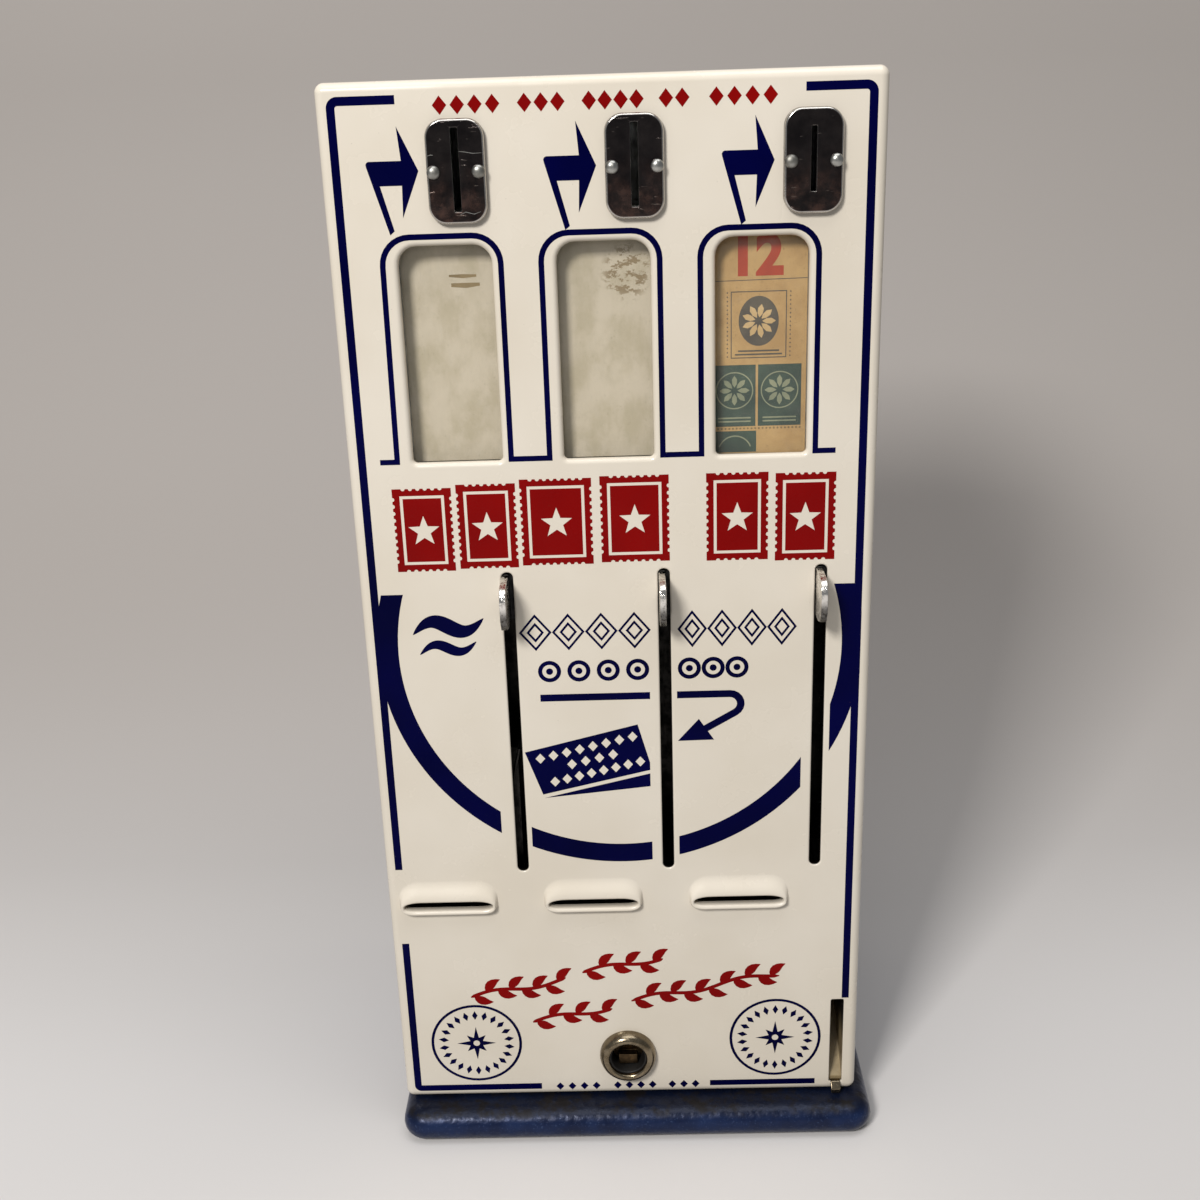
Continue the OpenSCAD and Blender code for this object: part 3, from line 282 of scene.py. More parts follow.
# %% Floor that sweeps up behind the machine
def studio_floor():
    bm = bmesh.new()
    front = [bm.verts.new((-3.0, y, z)) for y, z in ((-1.6, 0), (0.55, 0), (0.55, 1.9))]
    for pair in zip(front, front[1:]):
        bm.edges.new(pair)
    bmesh.ops.bevel(bm, geom=[front[1]], offset=0.4, offset_type="OFFSET", segments=16, profile=0.5,
                    affect="VERTICES", material=-1)
    made = bmesh.ops.extrude_edge_only(bm, edges=bm.edges[:])["geom"]
    bmesh.ops.translate(bm, verts=[v for v in made if isinstance(v, bmesh.types.BMVert)], vec=(6, 0, 0))
    bmesh.ops.recalc_face_normals(bm, faces=bm.faces[:])
    mesh = bpy.data.meshes.new("studio_floor")
    bm.to_mesh(mesh)
    bm.free()
    mesh.shade_smooth()
    floor = bpy.data.objects.new("studio_floor", mesh)
    link(floor)
    paper = Finish("studio_paper", (175, 168, 163))
    folds = paper.noise(420, 2, 0.5, paper.stretched(0.35, 1.0, 1.0))
    paper.coat(paper.axis(1).rise(0.45, -0.1), (220, 217, 216))
    paper.coat(folds.rise(0.3, 0.75) * 0.25, (196, 191, 187))
    kinds = ("Camera", "Glossy", "Transmission")
    rays = [paper.node("ShaderNodeLightPath", out=f"Is {kind} Ray") for kind in kinds]
    paper.coat(1 - rays[0].most(rays[1]).most(rays[2]), (150, 148, 146))
    paper.set(Roughness=0.9, Specular_IOR_Level=0.1)
    mesh.materials.append(paper.material)
    floor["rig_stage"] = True


studio_floor()
print("floor and backdrop")

# %% Lamps and world
def soft_lamp(name, place, aim, size, watts, colour=(1, 1, 1)):
    light = bpy.data.lights.new(name, "AREA")
    light.shape = "RECTANGLE"
    light.size, light.size_y, light.energy, light.color = size[0], size[1], watts, colour
    lamp = bpy.data.objects.new(name, light)
    link(lamp)
    lamp.matrix_world = (Matrix.Translation(place)
                         @ (Vector(aim) - Vector(place)).to_track_quat("-Z", "Y").to_matrix().to_4x4())


soft_lamp("key_lamp", (-0.56, -1.24, 1.2), (0, -0.05, 0.2), (0.34, 0.34), 22.5, (1.0, 0.985, 0.955))
soft_lamp("top_lamp", (0.1, -0.3, 1.6), (0, 0, 0.2), (1.2, 0.8), 8)
world = bpy.data.worlds.new("studio")
bpy.context.scene.world = world
world.use_nodes = True
sky = world.node_tree.nodes["Background"].inputs
sky["Color"].default_value, sky["Strength"].default_value = (0.86, 0.88, 0.9, 1), 0.27
bpy.context.scene.view_settings.view_transform = "Standard"
print("two soft lamps and an even world")

# %% [markdown]
# ## Finishes
# The cover is fired enamel: glossy cream with a faint unevenness, fine specks and a
# little dust. Print is the same enamel with less shine. The base is hammered
# metallic paint. The coin plates are dark worn plating, the levers bright and the
# lock's bezel warm nickel. Some light is painted: painted shade in the lever slots,
# on the base's top, on the levers behind the face, in the return chute and keyway,
# and a painted highlight on the coin plates' bevel.

# %% Enamel: cream, navy and red
def enamel(name, colour, worn, shine=0.5):
    f = Finish(name, colour)
    cloud = f.noise(60, 3, 0.55)
    specks = f.cells(3.1, f.stretched(1, 1, 1, 0.37)).rise(0.035, 0.02)
    some = f.noise(9, 2).rise(0.56, 0.62)
    f.coat(cloud.rise(0.3, 0.7), worn)
    f.coat(specks * some * 0.75, (96, 74, 52))
    smudge = f.noise(22, 4, 0.6)
    # The inner walls of the lever slots, behind the face, are painted near black: painted shade.
    slots = [((f.axis(0) - (lever_x(i) + COVER_SHIFT) / 1000).size()).rise(0.0031, 0.0027) for i in COLUMNS]
    slot_shade = slots[0].most(slots[1]).most(slots[2]) * f.axis(1).rise(-0.0598, -0.0594) * f.axis(2).rise(0.113, 0.115)
    f.coat(slot_shade * f.axis(2).rise(0.236, 0.234), (18, 15, 13))
    f.set(Roughness=0.16 + 0.16 * smudge.rise(0.35, 0.75), Specular_IOR_Level=shine)
    f.relief(f.noise(2.4, 2) + 0.35 * f.noise(0.6, 1), 0.022, 0.6)
    return f


cream = enamel("cream_enamel", (229, 220, 206), (222, 212, 196))
navy = enamel("navy_print", (2, 3, 60), (1, 2, 44), 0.03)
red = enamel("red_print", (138, 9, 8), (120, 6, 7), 0.05)
print("three enamels")

# %% Hammered blue paint of the base
def hammered():
    f = Finish("hammered_blue", (13, 25, 56))
    dents = f.cells(2.6, f.stretched(1, 1, 1, 0.1), "SMOOTH_F1")
    cloud = f.noise(14, 4, 0.6)
    f.coat(cloud.rise(0.3, 0.75), (23, 41, 80))
    fleck = f.noise(0.8, 2).rise(0.6, 0.7)
    f.coat(fleck * 0.25, (84, 104, 142))
    # The top of the base is painted darker: painted shade under the cover, with patches of grime over it.
    top = f.axis(2).rise(0.0092, 0.0126)
    f.coat(top * 0.7, (7, 10, 20))
    grime = f.noise(9, 5, 0.65).rise(0.46, 0.62) * top
    f.coat(grime * 0.85, (22, 17, 14))
    f.set(Metallic=0.3, Roughness=0.22 + 0.2 * cloud + 0.25 * grime, Specular_IOR_Level=0.32)
    f.relief(dents + 0.5 * f.noise(1.4, 3), 0.3, 0.7)
    return f


hammered_blue = hammered()
print("hammered blue")

# %% Metals
def metal(name, colour, other, rough, patch_mm, scratch, grain=0.04, level=1.0):
    f = Finish(name, colour)
    cloud = f.noise(patch_mm, 4, 0.6)
    line = f.noise(0.9, 3, 0.6, f.stretched(1.0, 1.0, 0.06)).rise(0.52, 0.7)
    f.coat(cloud.rise(0.35, 0.7), other)
    f.set(Metallic=level, Roughness=rough + scratch * cloud.rise(0.4, 0.75) + 0.1 * line)
    f.relief(line + 0.6 * f.noise(0.5, 2), grain, 0.5)
    return f


bright = metal("bright_plating", (214, 212, 208), (168, 164, 158), 0.09, 5, 0.16, 0.02)
zinc = metal("dull_zinc", (168, 168, 164), (128, 126, 120), 0.3, 7, 0.2)
spring_steel = metal("spring_steel", (120, 120, 124), (86, 84, 84), 0.25, 4, 0.2)
brass = metal("dull_brass", (148, 118, 66), (96, 74, 44), 0.26, 3, 0.25)
black_steel = metal("blackened_steel", (52, 50, 48), (30, 29, 28), 0.32, 4, 0.2)
nickel = metal("warm_nickel", (138, 126, 106), (96, 84, 66), 0.2, 6, 0.14, 0.015)
old_brass = metal("brown_brass", (88, 72, 52), (52, 42, 30), 0.36, 2.5, 0.2)
# Near-black brass for the lock barrel: painted shade inside the keyway.
keyway_shade = metal("brass_dark_as_keyway_shade", (20, 17, 14), (11, 9, 8), 0.5, 2.5, 0.2, 0.04, 0.2)
print("eight metals")

# %% Plating of the levers: pitted, darker on the lower half, and near black behind the face as painted shade
def lever_plate():
    f = Finish("worn_lever_plating_with_painted_shade", (222, 219, 214))
    low = f.axis(2).rise(0.2262, 0.2218)
    pits = f.noise(1.5, 4, 0.65).rise(0.5, 0.6)
    f.coat(pits * (0.18 + 0.6 * low), (70, 64, 58))
    f.coat(low * 0.82, (40, 37, 34))
    # Behind the face the lever is painted near black and not metal: painted shade inside the slot.
    inside = f.axis(1).rise(-0.0596, -0.0588)
    f.coat(inside, (15, 14, 13))
    f.set(Metallic=1 - inside, Roughness=0.13 + 0.2 * pits + 0.1 * low + 0.4 * inside)
    f.relief(pits, 0.06, 0.5)
    return f


lever_plating = lever_plate()
print("lever plating")

# %% Dull blue of the cabinet, and dusty cream of the return chute with painted shade at its top
def plain_paint(name, colour, other, rough, shade_from=None):
    f = Finish(name, colour)
    dust = f.noise(3, 4, 0.7).rise(0.55, 0.75)
    f.coat(f.noise(16, 4, 0.6).rise(0.3, 0.7), other)
    f.coat(dust * 0.25, (150, 144, 132))
    # Above the given height the chute is painted near black: painted shade deep in the slot.
    if shade_from:
        f.coat(f.axis(2).rise(*shade_from), (14, 12, 10))
    f.set(Roughness=rough + 0.2 * dust)
    f.relief(f.noise(0.9, 3) + 0.6 * f.noise(3, 2), 0.05, 0.5)
    return f


cabinet_blue = plain_paint("cabinet_blue", (48, 70, 112), (38, 58, 98), 0.32)
return_cream = plain_paint("return_cream", (160, 142, 108), (104, 88, 62), 0.4, (0.034, 0.047))
print("two paints")

# %% Dark worn plating of the coin plates, with a painted highlight on the bevel
def dark_plate():
    f = Finish("dark_worn_plating_with_painted_highlight", (46, 42, 43))
    cloud = f.noise(7, 5, 0.62)
    low = f.axis(2).rise(0.3745, 0.3545)
    brown = f.noise(5.5, 5, 0.68).rise(0.36, 0.78) * low
    f.coat(cloud.rise(0.3, 0.7), (66, 60, 59))
    f.coat(brown * 0.7, (108, 80, 70))
    scratch = f.noise(1.1, 2, 0.5, f.stretched(0.2, 1, 1.4)).rise(0.68, 0.73)
    f.coat(scratch * 0.4, (150, 140, 130))
    # The bevel round the plate's front is painted bright: a painted highlight where the rim catches the lamp.
    edge = f.axis(1).rise(-0.06257, -0.06249) * f.axis(1).rise(-0.06165, -0.06195)
    f.coat(edge * 0.9, (200, 196, 190))
    f.set(Metallic=0.97, Roughness=0.13 + 0.2 * brown + 0.1 * cloud)
    f.relief(f.noise(0.9, 4, 0.6) + scratch, 0.05, 0.5)
    return f


dark_plating = dark_plate()
print("dark plating")

# %% Worn cream plates behind the empty windows
def worn_plate():
    f = Finish("worn_cream_lacquer", (202, 190, 168))
    grain = f.noise(0.55, 3, 0.7, f.stretched(1, 1, 0.45))
    f.coat(f.noise(9, 5, 0.6, f.stretched(1, 1, 0.6)).rise(0.35, 0.68), (182, 170, 144))
    across, up = (f.axis(0) - 0.0042) / 0.0085, (f.axis(2) - 0.3335) / 0.0095
    worn_spot = (across * across + up * up).rise(1.25, 0.35)
    scuff = f.noise(3.6, 5, 0.75, f.stretched(0.8, 1, 1.3, 0.02))
    f.coat(scuff.rise(0.66, 0.72) * 0.4, (150, 134, 104))
    f.coat(scuff.rise(0.5, 0.54) * worn_spot * 0.85, (126, 104, 66))
    f.coat(grain.rise(0.58, 0.76) * 0.5, (112, 100, 76))
    f.set(Roughness=0.62)
    f.relief(grain, 0.04, 0.6)
    return f


worn_cream = worn_plate()
print("worn lacquer")

# %% Clear sheet of the windows
def clear_sheet():
    f = Finish("clear_sheet", (232, 228, 216))
    dust = f.noise(5, 5, 0.65).rise(0.5, 0.85)
    hair = f.noise(0.7, 2, 0.5, f.stretched(1, 1, 0.05)).rise(0.68, 0.74)
    f.set(Roughness=0.06 + 0.1 * dust, Specular_IOR_Level=0.25, Alpha=0.025 + 0.035 * dust + 0.05 * hair)
    return f


clear = clear_sheet()
print("clear sheet")

# %% Card and inks of the folders
def card(name, colour, other, speck):
    f = Finish(name, colour)
    fibre = f.noise(0.5, 3, 0.7, f.stretched(1, 1, 0.5))
    f.coat(f.noise(12, 4, 0.6).rise(0.3, 0.7), other)
    f.coat(fibre.rise(0.58, 0.75) * speck, (92, 70, 44))
    f.set(Roughness=0.8)
    f.relief(fibre, 0.03, 0.5)
    return f


tan_card = card("tan_card", (196, 160, 106), (174, 138, 88), 0.45)
orange_ink = card("orange_ink", (176, 62, 34), (156, 52, 30), 0.4)
green_ink = card("green_ink", (60, 80, 68), (40, 58, 52), 0.35)
grey_ink = card("grey_ink", (98, 90, 76), (74, 68, 60), 0.3)
pale_ink = card("pale_ink", (150, 152, 122), (124, 130, 106), 0.4)
soft_tan = card("soft_tan", (214, 184, 134), (196, 164, 114), 0.35)
scuff_brown = card("scuff_brown", (140, 120, 82), (112, 94, 62), 0.5)
grey_paint = card("grey_paint", (104, 106, 108), (90, 92, 94), 0.15)
print("card and inks")

# %% [markdown]
# ## Building pieces
# Every new piece starts as a few corners on the cover and grows by extruding its
# edges. Three helpers do most of the work: one draws a rectangle with rounded
# corners, one carries a closed outline through a list of places, and one makes
# the result an object that rides on a body of the machine.

# %% Rounded outlines
def outline(bm, low, high, radii=0.0, y=0.0, steps=6):
    """A rectangle's edges on the face, rounded in turn from the low left corner to the right."""
    sketch = bmesh.new()
    (x0, z0), (x1, z1) = low, high
    corners = [sketch.verts.new(p) for p in ((x0, y, z0), (x1, y, z0), (x1, y, z1), (x0, y, z1))]
    sketch.faces.new(corners)
    for corner, radius in zip(corners, radii if isinstance(radii, tuple) else (radii,) * 4):
        if radius:
            bmesh.ops.bevel(sketch, geom=[corner], offset=radius, offset_type="OFFSET", segments=steps,
                            profile=0.5, affect="VERTICES", material=-1)
    sketch.faces.ensure_lookup_table()
    verts = [bm.verts.new(v.co) for v in sketch.faces[0].verts]
    sketch.free()
    return [bm.edges.new(pair) for pair in zip(verts, verts[1:] + verts[:1])]


def around(x, z, w, h):
    """The low and high corners of a rectangle from its middle and its size."""
    return (x - w / 2, z - h / 2), (x + w / 2, z + h / 2)


# %% Growing an outline along the face and into its depth
def fill(bm, edges):
    """Closes the flat between outlines."""
    bmesh.ops.triangle_fill(bm, use_beauty=True, use_dissolve=False, edges=edges)


def new_edges(geometry):
    return [e for e in geometry if isinstance(e, bmesh.types.BMEdge)]


def new_verts(geometry):
    return [v for v in geometry if isinstance(v, bmesh.types.BMVert)]


def turn(bm, verts, quarters, axis):
    bmesh.ops.rotate(bm, verts=verts, cent=(0, 0, 0), matrix=Matrix.Rotation(quarters * pi / 2, 3, axis))


def grow(bm, edges, places):
    """Extrudes a convex outline through (out, y): out from where it starts, and a depth."""
    was = 0.0
    for out, y in places:
        made = bmesh.ops.extrude_edge_only(bm, edges=edges)["geom"]
        edges, verts = new_edges(made), new_verts(made)
        ring = set(edges)
        centre = sum((v.co for v in verts), Vector()) / len(verts)
        moved = []
        for v in verts:
            before, after = (e.other_vert(v).co for e in v.link_edges if e in ring)
            first, second = (v.co - before).normalized(), (after - v.co).normalized()
            side = Vector((first.z + second.z, 0, -first.x - second.x)).normalized()
            if side.dot(v.co - centre) < 0:
                side.negate()
            reach = (out - was) / max(0.2, abs(side.x * first.z - side.z * first.x))
            moved.append((v, v.co + side * reach))
        for v, place in moved:
            v.co = (place.x, y, place.z)
        was = out
    return edges


def quarter(steps, first=1):
    """The angles of a quarter turn in even steps."""
    return [pi / 2 * k / steps for k in range(first, steps + 1)]


def roll(radius, way, steps):
    """Places on a quarter round from the face into the depth; way -1 rolls inwards."""
    return [(way * radius * sin(a), radius * (1 - cos(a))) for a in quarter(steps)]


# %% From a bmesh to an object on the machine
def finish_piece(name, bm, finish, body, stands_for=(), sharp=35, tidy=True, weight=False,
                 wall=0.0, bevel=0.0):
    if tidy:
        bmesh.ops.remove_doubles(bm, verts=bm.verts[:], dist=0.0005)
        bmesh.ops.recalc_face_normals(bm, faces=bm.faces[:])
    bmesh.ops.scale(bm, verts=bm.verts[:], vec=(0.001, 0.001, 0.001))
    bmesh.ops.translate(bm, verts=bm.verts[:], vec=spot(0, 0, 0))
    mesh = bpy.data.meshes.new(name)
    bm.to_mesh(mesh)
    bm.free()
    mesh.materials.append(finish.material)
    mesh.shade_smooth()
    mesh.set_sharp_from_angle(angle=radians(sharp))
    piece = bpy.data.objects.new(name, mesh)
    link(piece)
    if wall:
        sheet = piece.modifiers.new("sheet", "SOLIDIFY")
        sheet.thickness, sheet.offset = wall / 1000, -1
    if bevel:
        edge = piece.modifiers.new("edges", "BEVEL")
        edge.width, edge.segments, edge.limit_method, edge.angle_limit = bevel / 1000, 2, "ANGLE", radians(40)
    if weight or bevel:
        even = piece.modifiers.new("even_shading", "WEIGHTED_NORMAL")
        even.keep_sharp = not bevel
    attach(piece, body)
    if stands_for:
        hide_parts(*stands_for)
    return piece


print("outlines can be drawn, grown and placed")

# %% [markdown]
# ## The enamelled cover
# The cover is one steel sheet, pressed so that its edges roll back and its openings
# are drawn in, then enamelled. A flat plate with knife-sharp holes would look cut
# from card. So the sheet is drawn as outlines in the plane of the face, one for the
# edge and one for each opening. A triangle fill closes the plate between them, and
# each outline is then grown into its own roll. Solidify gives the sheet its wall.

# %% The edge and the openings as outlines
cover = bmesh.new()
EDGE_ROLL, WINDOW_ROLL, SLOT_ROLL = 3.0, 1.7, 0.8
half_w = COVER_W / 2
edge_line = outline(cover, (EDGE_ROLL - half_w, EDGE_ROLL), (half_w - EDGE_ROLL, COVER_H - EDGE_ROLL), 0.1)
WINDOW_W, WINDOW_LOW, WINDOW_H = 30.2, 259.6, 71.3
FOOT, RIDGE, THROAT = (37.4, 15.2, MOUTH_Z), (34.9, 5.6, 88.6), (33.2, 3.6, 88.7)
window_lines, lever_lines, mouth_lines, coin_lines = [], [], [], []
for i in COLUMNS:
    size = (WINDOW_W + 2 * WINDOW_ROLL, WINDOW_H + 2 * WINDOW_ROLL)
    low, top = 1.5 + WINDOW_ROLL, 6.0 + WINDOW_ROLL
    window_lines.append(outline(cover, *around(window_x(i), WINDOW_LOW + WINDOW_H / 2, *size),
                                (low, low, top, top)))
    lever_lines.append(outline(cover, *around(lever_x(i), 161.1, 4 + 2 * SLOT_ROLL, 117.8 + 2 * SLOT_ROLL), 2.7))
    mouth_lines.append(outline(cover, *around(slot_x(i), MOUTH_Z, FOOT[0], FOOT[1]), (5.0, 5.0, 7.4, 7.4)))
    coin_lines.append(outline(cover, *around(coin_x(i), 354.1, 2.8, 26.6)))
return_line = outline(cover, *around(81.1, 23.15, 5.8, 39.3), 1.2)
lock_line = outline(cover, *around(LOCK_X, LOCK_Z, 16.1, 16.1), 8.04, steps=10)
fill(cover, cover.edges[:])
print("the flat of the cover has", len(cover.faces), "faces")

# %% Rolled edges, drawn rims and flanges
flange = grow(cover, edge_line, roll(EDGE_ROLL, 1, 7) + [(EDGE_ROLL, 12.0)])
flange_faces = {f for e in flange for f in e.link_faces}
bmesh.ops.bisect_plane(cover, geom=list(flange_faces) + list({e for f in flange_faces for e in f.edges})
                       + list({v for f in flange_faces for v in f.verts}),
                       dist=1e-4, plane_co=(0, 0, 3.4), plane_no=(0, 0, 1))
for v in cover.verts:
    if v.co.y > 11 and v.co.z < 3.3:
        v.co.y = 3.5
for line in window_lines:
    grow(cover, line, roll(WINDOW_ROLL, -1, 6) + [(-WINDOW_ROLL, 2.5)])
for line in lever_lines:
    grow(cover, line, roll(SLOT_ROLL, -1, 4) + [(-SLOT_ROLL, 2.1)])
for line in coin_lines + [lock_line]:
    grow(cover, line, [(0, 1.1)])
grow(cover, return_line, roll(0.4, -1, 3) + [(-0.4, 1.1)])
print("the cover's rolls add up to", len(cover.faces), "faces")

# %% Drawn mouths of the delivery slots
MOUTH_OUT, MOUTH_LIP = 2.6, 1.1

def mouth(bm, edges, x):
    """Carries a mouth's outline up to its ridge and round the ridge into the slot.

    FOOT, RIDGE and THROAT each give a width, a height and the height of the middle."""
    places = [(FOOT, RIDGE, k / 8, -MOUTH_OUT * (1 - cos(pi * (k / 8))) / 2) for k in range(1, 9)]
    places += [(RIDGE, THROAT, sin(a), -MOUTH_OUT + MOUTH_LIP * (1 - cos(a))) for a in quarter(5)]
    places.append((RIDGE, THROAT, 1.0, 0.9))
    last_wide, last_high, last_mid = FOOT
    for first, second, share, y in places:
        made = bmesh.ops.extrude_edge_only(bm, edges=edges)["geom"]
        edges = new_edges(made)
        wide, high, mid = (a + (b - a) * share for a, b in zip(first, second))
        for v in new_verts(made):
            v.co = (x + (v.co.x - x) * wide / last_wide, y, mid + (v.co.z - last_mid) * high / last_high)
        last_wide, last_high, last_mid = wide, high, mid


for i, line in zip(COLUMNS, mouth_lines):
    mouth(cover, line, slot_x(i))
print("three drawn mouths")

# %% The sheet gets its wall
finish_piece("enamelled_cover", cover, cream, "cover", ["front_cover"], weight=True, wall=SHEET, sharp=50)
print("the cover is one enamelled sheet")

# %% Hinge ears behind the top corners
ears = bmesh.new()
for side in (-1, 1):
    edges = outline(ears, (10.5, 366.0), (22.5, 380.3), (0.0, 5.4, 5.4, 0.0), steps=8)
    ear = bmesh.ops.contextual_create(ears, geom=edges)["faces"]
    made = bmesh.ops.extrude_face_region(ears, geom=ear, use_keep_orig=True)["geom"]
    bmesh.ops.translate(ears, verts=new_verts(made), vec=(0, SHEET * side, 0))
    verts = {v for e in edges for v in e.verts} | set(new_verts(made))
    turn(ears, list(verts), 1, "Z")
    bmesh.ops.translate(ears, verts=list(verts), vec=(side * half_w, 0, 0))
finish_piece("hinge_ears", ears, cream, "cover")
print("two hinge ears")

# %% [markdown]
# ## The printed design
# The design is fired into the enamel: a thin layer with crisp edges, so it is cut as
# real shapes a few hundredths of a millimetre above the face. A line is made by
# extruding one short edge along a path, and a filled shape by filling an outline.

# %% Printed lines and shapes
INK = -0.035


def ribbon(bm, points, width, y=INK, closed=False):
    """Extrudes an edge along points (x, z). The width is one number or one for each point."""
    widths = width if isinstance(width, (list, tuple)) else [width] * len(points)
    if closed:
        points, widths = list(points) + [points[0]], list(widths) + [widths[0]]
    places = [Vector((x, y, z)) for x, z in points]
    edge = None
    for k, p in enumerate(places):
        before = places[k - 1] if k else (places[-2] if closed else None)
        after = places[k + 1] if k + 1 < len(places) else (places[1] if closed else None)
        first = (p - before).normalized() if before else (after - p).normalized()
        second = (after - p).normalized() if after else first
        along = (first + second).normalized()
        half = widths[k] / 2 / max(0.35, along.dot(second))
        aside = Vector((-along.z, 0, along.x)) * half
        ends = [p + aside, p - aside]
        if edge is None:
            left, right = (bm.verts.new(e) for e in ends)
            edge = bm.edges.new((left, right))
        else:
            made = bmesh.ops.extrude_edge_only(bm, edges=[edge])["geom"]
            edge = new_edges(made)[0]
            one, other = new_verts(made)
            left, right = (one, other) if (one.co - left.co).length < 1e-6 else (other, one)
            left.co, right.co = ends


def patch(bm, points, holes=(), y=INK):
    """A filled shape through points (x, z), open where there are holes."""
    edges = []
    for line in [points, *holes]:
        verts = [bm.verts.new((x, y, z)) for x, z in line]
        edges += [bm.edges.new(pair) for pair in zip(verts, verts[1:] + verts[:1])]
    fill(bm, edges)


def lozenge(x, z, wide, high):
    """Half width and half height about a middle."""
    return [(x + wide, z), (x, z + high), (x - wide, z), (x, z - high)]


def star(x, z, radii, points=5):
    turns = [(radii[k % len(radii)], pi * k / points) for k in range(2 * points)]
    return [(x + r * sin(a), z + r * cos(a)) for r, a in turns]


def arc(x, z, r, start, end, steps=8):
    angles = [radians(start + (end - start) * k / steps) for k in range(steps + 1)]
    return [(x + r * cos(a), z + r * sin(a)) for a in angles]


def keep_between(bm, low, high, axis="x"):
    """Cuts away what lies outside low and high."""
    normal = Vector((1, 0, 0)) if axis == "x" else Vector((0, 0, 1))
    for place, facing in ((low, -1), (high, 1)):
        bmesh.ops.bisect_plane(bm, geom=bm.verts[:] + bm.edges[:] + bm.faces[:], dist=1e-5,
                               plane_co=normal * place, plane_no=normal * facing, clear_outer=True)


def join(bm, other):
    """Adds another bmesh's faces and empties it."""
    mesh = bpy.data.meshes.new("part")
    other.to_mesh(mesh)
    other.free()
    bm.from_mesh(mesh)
    bpy.data.meshes.remove(mesh)


def print_piece(name, bm, finish, body="cover", thick=0.05):
    bmesh.ops.remove_doubles(bm, verts=bm.verts[:], dist=0.0005)
    for f in bm.faces:
        if f.normal.y > 0:
            f.normal_flip()
    bmesh.ops.solidify(bm, geom=bm.faces[:], thickness=thick)
    finish_piece(name, bm, finish, body, tidy=False)


print("lines, shapes and cuts are ready")

# %% Border line and the frames round the windows
border = bmesh.new()
SIDE_X, TOP_Z, FOOT_Z = 84.0, 375.45, 4.55
ribbon(border, [(-63.9, TOP_Z)] + arc(-81.8, TOP_Z - 2.2, 2.2, 90, 180) + [(-SIDE_X, 103.8)], 2.7)
ribbon(border, [(-SIDE_X, 71.6)] + arc(-82.6, FOOT_Z + 1.4, 1.4, 180, 270) + [(-34.9, FOOT_Z)], 2.7)
ribbon(border, [(31.7, FOOT_Z), (73.0, FOOT_Z)], 2.5)
ribbon(border, [(63.1, TOP_Z)] + arc(81.8, TOP_Z - 2.2, 2.2, 90, 0) + [(SIDE_X, 43.2)], 2.7)
frames = [(-77.9, 260.4)]
for i in COLUMNS:
    left, right_leg = -20.75 + 50.9 * i, 17.2 + 50.9 * i
    frames += [(left - 0.45 * (i < 0), 260.4)] + arc(left + 9, 324.9, 9, 180, 90)
    frames += arc(right_leg - 9, 324.9, 9, 90, 0) + [(right_leg, 260.4)]
frames.append((74.9, 260.4))
ribbon(border, frames, 1.85)
print_piece("border_print", border, navy)
print("border and window frames")

# %% Broad ring cut by the lever slots
ring = bmesh.new()
for low, high in ((-85.4, -44.6), (-33.5, 10.9), (20.9, 65.2), (75.2, 85.4)):
    whole = bmesh.new()
    ribbon(whole, arc(0.8, 190.8, 81.7, 0, 357.5, 143), 7.4, y=INK - 0.015, closed=True)
    keep_between(whole, low, high)
    keep_between(whole, 100, 213, "z")
    join(ring, whole)
print_piece("ring_print", ring, navy)
print("a ring in four parts")

# %% Arrows beside the coin plates
arrows = bmesh.new()
for i in COLUMNS:
    x, z = coin_x(i), PLATE_Z
    patch(arrows, [(x + dx, z + dz) for dx, dz in (
        (-12.0, 0.5), (-18.1, 14.0), (-17.3, 3.7), (-27.6, 3.7), (-28.2, 3.4), (-28.5, 2.8), (-28.4, 2.1),
        (-22.4, -18.9), (-20.9, -17.7), (-24.5, -3.8), (-17.5, -3.8), (-17.9, -13.7))])
print_piece("arrow_print", arrows, navy)
print("three arrows")

# %% Curved arrow, rule and tilted panel in the middle
middle = bmesh.new()
ribbon(middle, [(-27.9, 172.5), (11.2, 172.5)], 2.7)
ribbon(middle, [(20.8, 172.5)] + arc(39.6, 168.6, 3.9, 90, -60) + [(29.6, 158.3)], 2.7)
patch(middle, [(20.9, 154.4), (28.5, 162.9), (33.9, 154.6)], y=INK - 0.015)
patch(middle, [(-34.5, 151.2), (6.5, 161.3), (10.7, 146.0), (10.7, 143.0), (-28.6, 134.0)])
patch(middle, [(-28.0, 132.6), (10.7, 141.6), (10.7, 136.4)])
print_piece("middle_print", middle, navy)
print("curved arrow, rule and panel")

# %% [markdown]
# Where the real cover has words, this one has plain ornaments of the same colour
# and size: blank stamps, lozenges, rings, brush strokes and leaves.

# %% Six blank stamps in red
def perforated(x0, z0, x1, z1, pitch=2.5, bite=0.75):
    """A stamp's outline: whole corners, and half-round bites along the sides."""
    points = []
    corners = [(x0, z0), (x1, z0), (x1, z1), (x0, z1)]
    for (ax, az), (bx, bz) in zip(corners, corners[1:] + corners[:1]):
        length = hypot(bx - ax, bz - az)
        along = ((bx - ax) / length, (bz - az) / length)
        count = round(length / pitch)
        points.append((ax, az))
        for k in range(1, count - 1):
            for angle in (180, 135, 90, 45, 0):
                d = length * (k + 0.5) / count + bite * cos(radians(angle))
                h = bite * sin(radians(angle))
                points.append((ax + along[0] * d - along[1] * h, az + along[1] * d + along[0] * h))
    return points


def box(x0, z0, x1, z1, inset=0.0):
    return [(x0 + inset, z0 + inset), (x1 - inset, z0 + inset), (x1 - inset, z1 - inset), (x0 + inset, z1 - inset)]


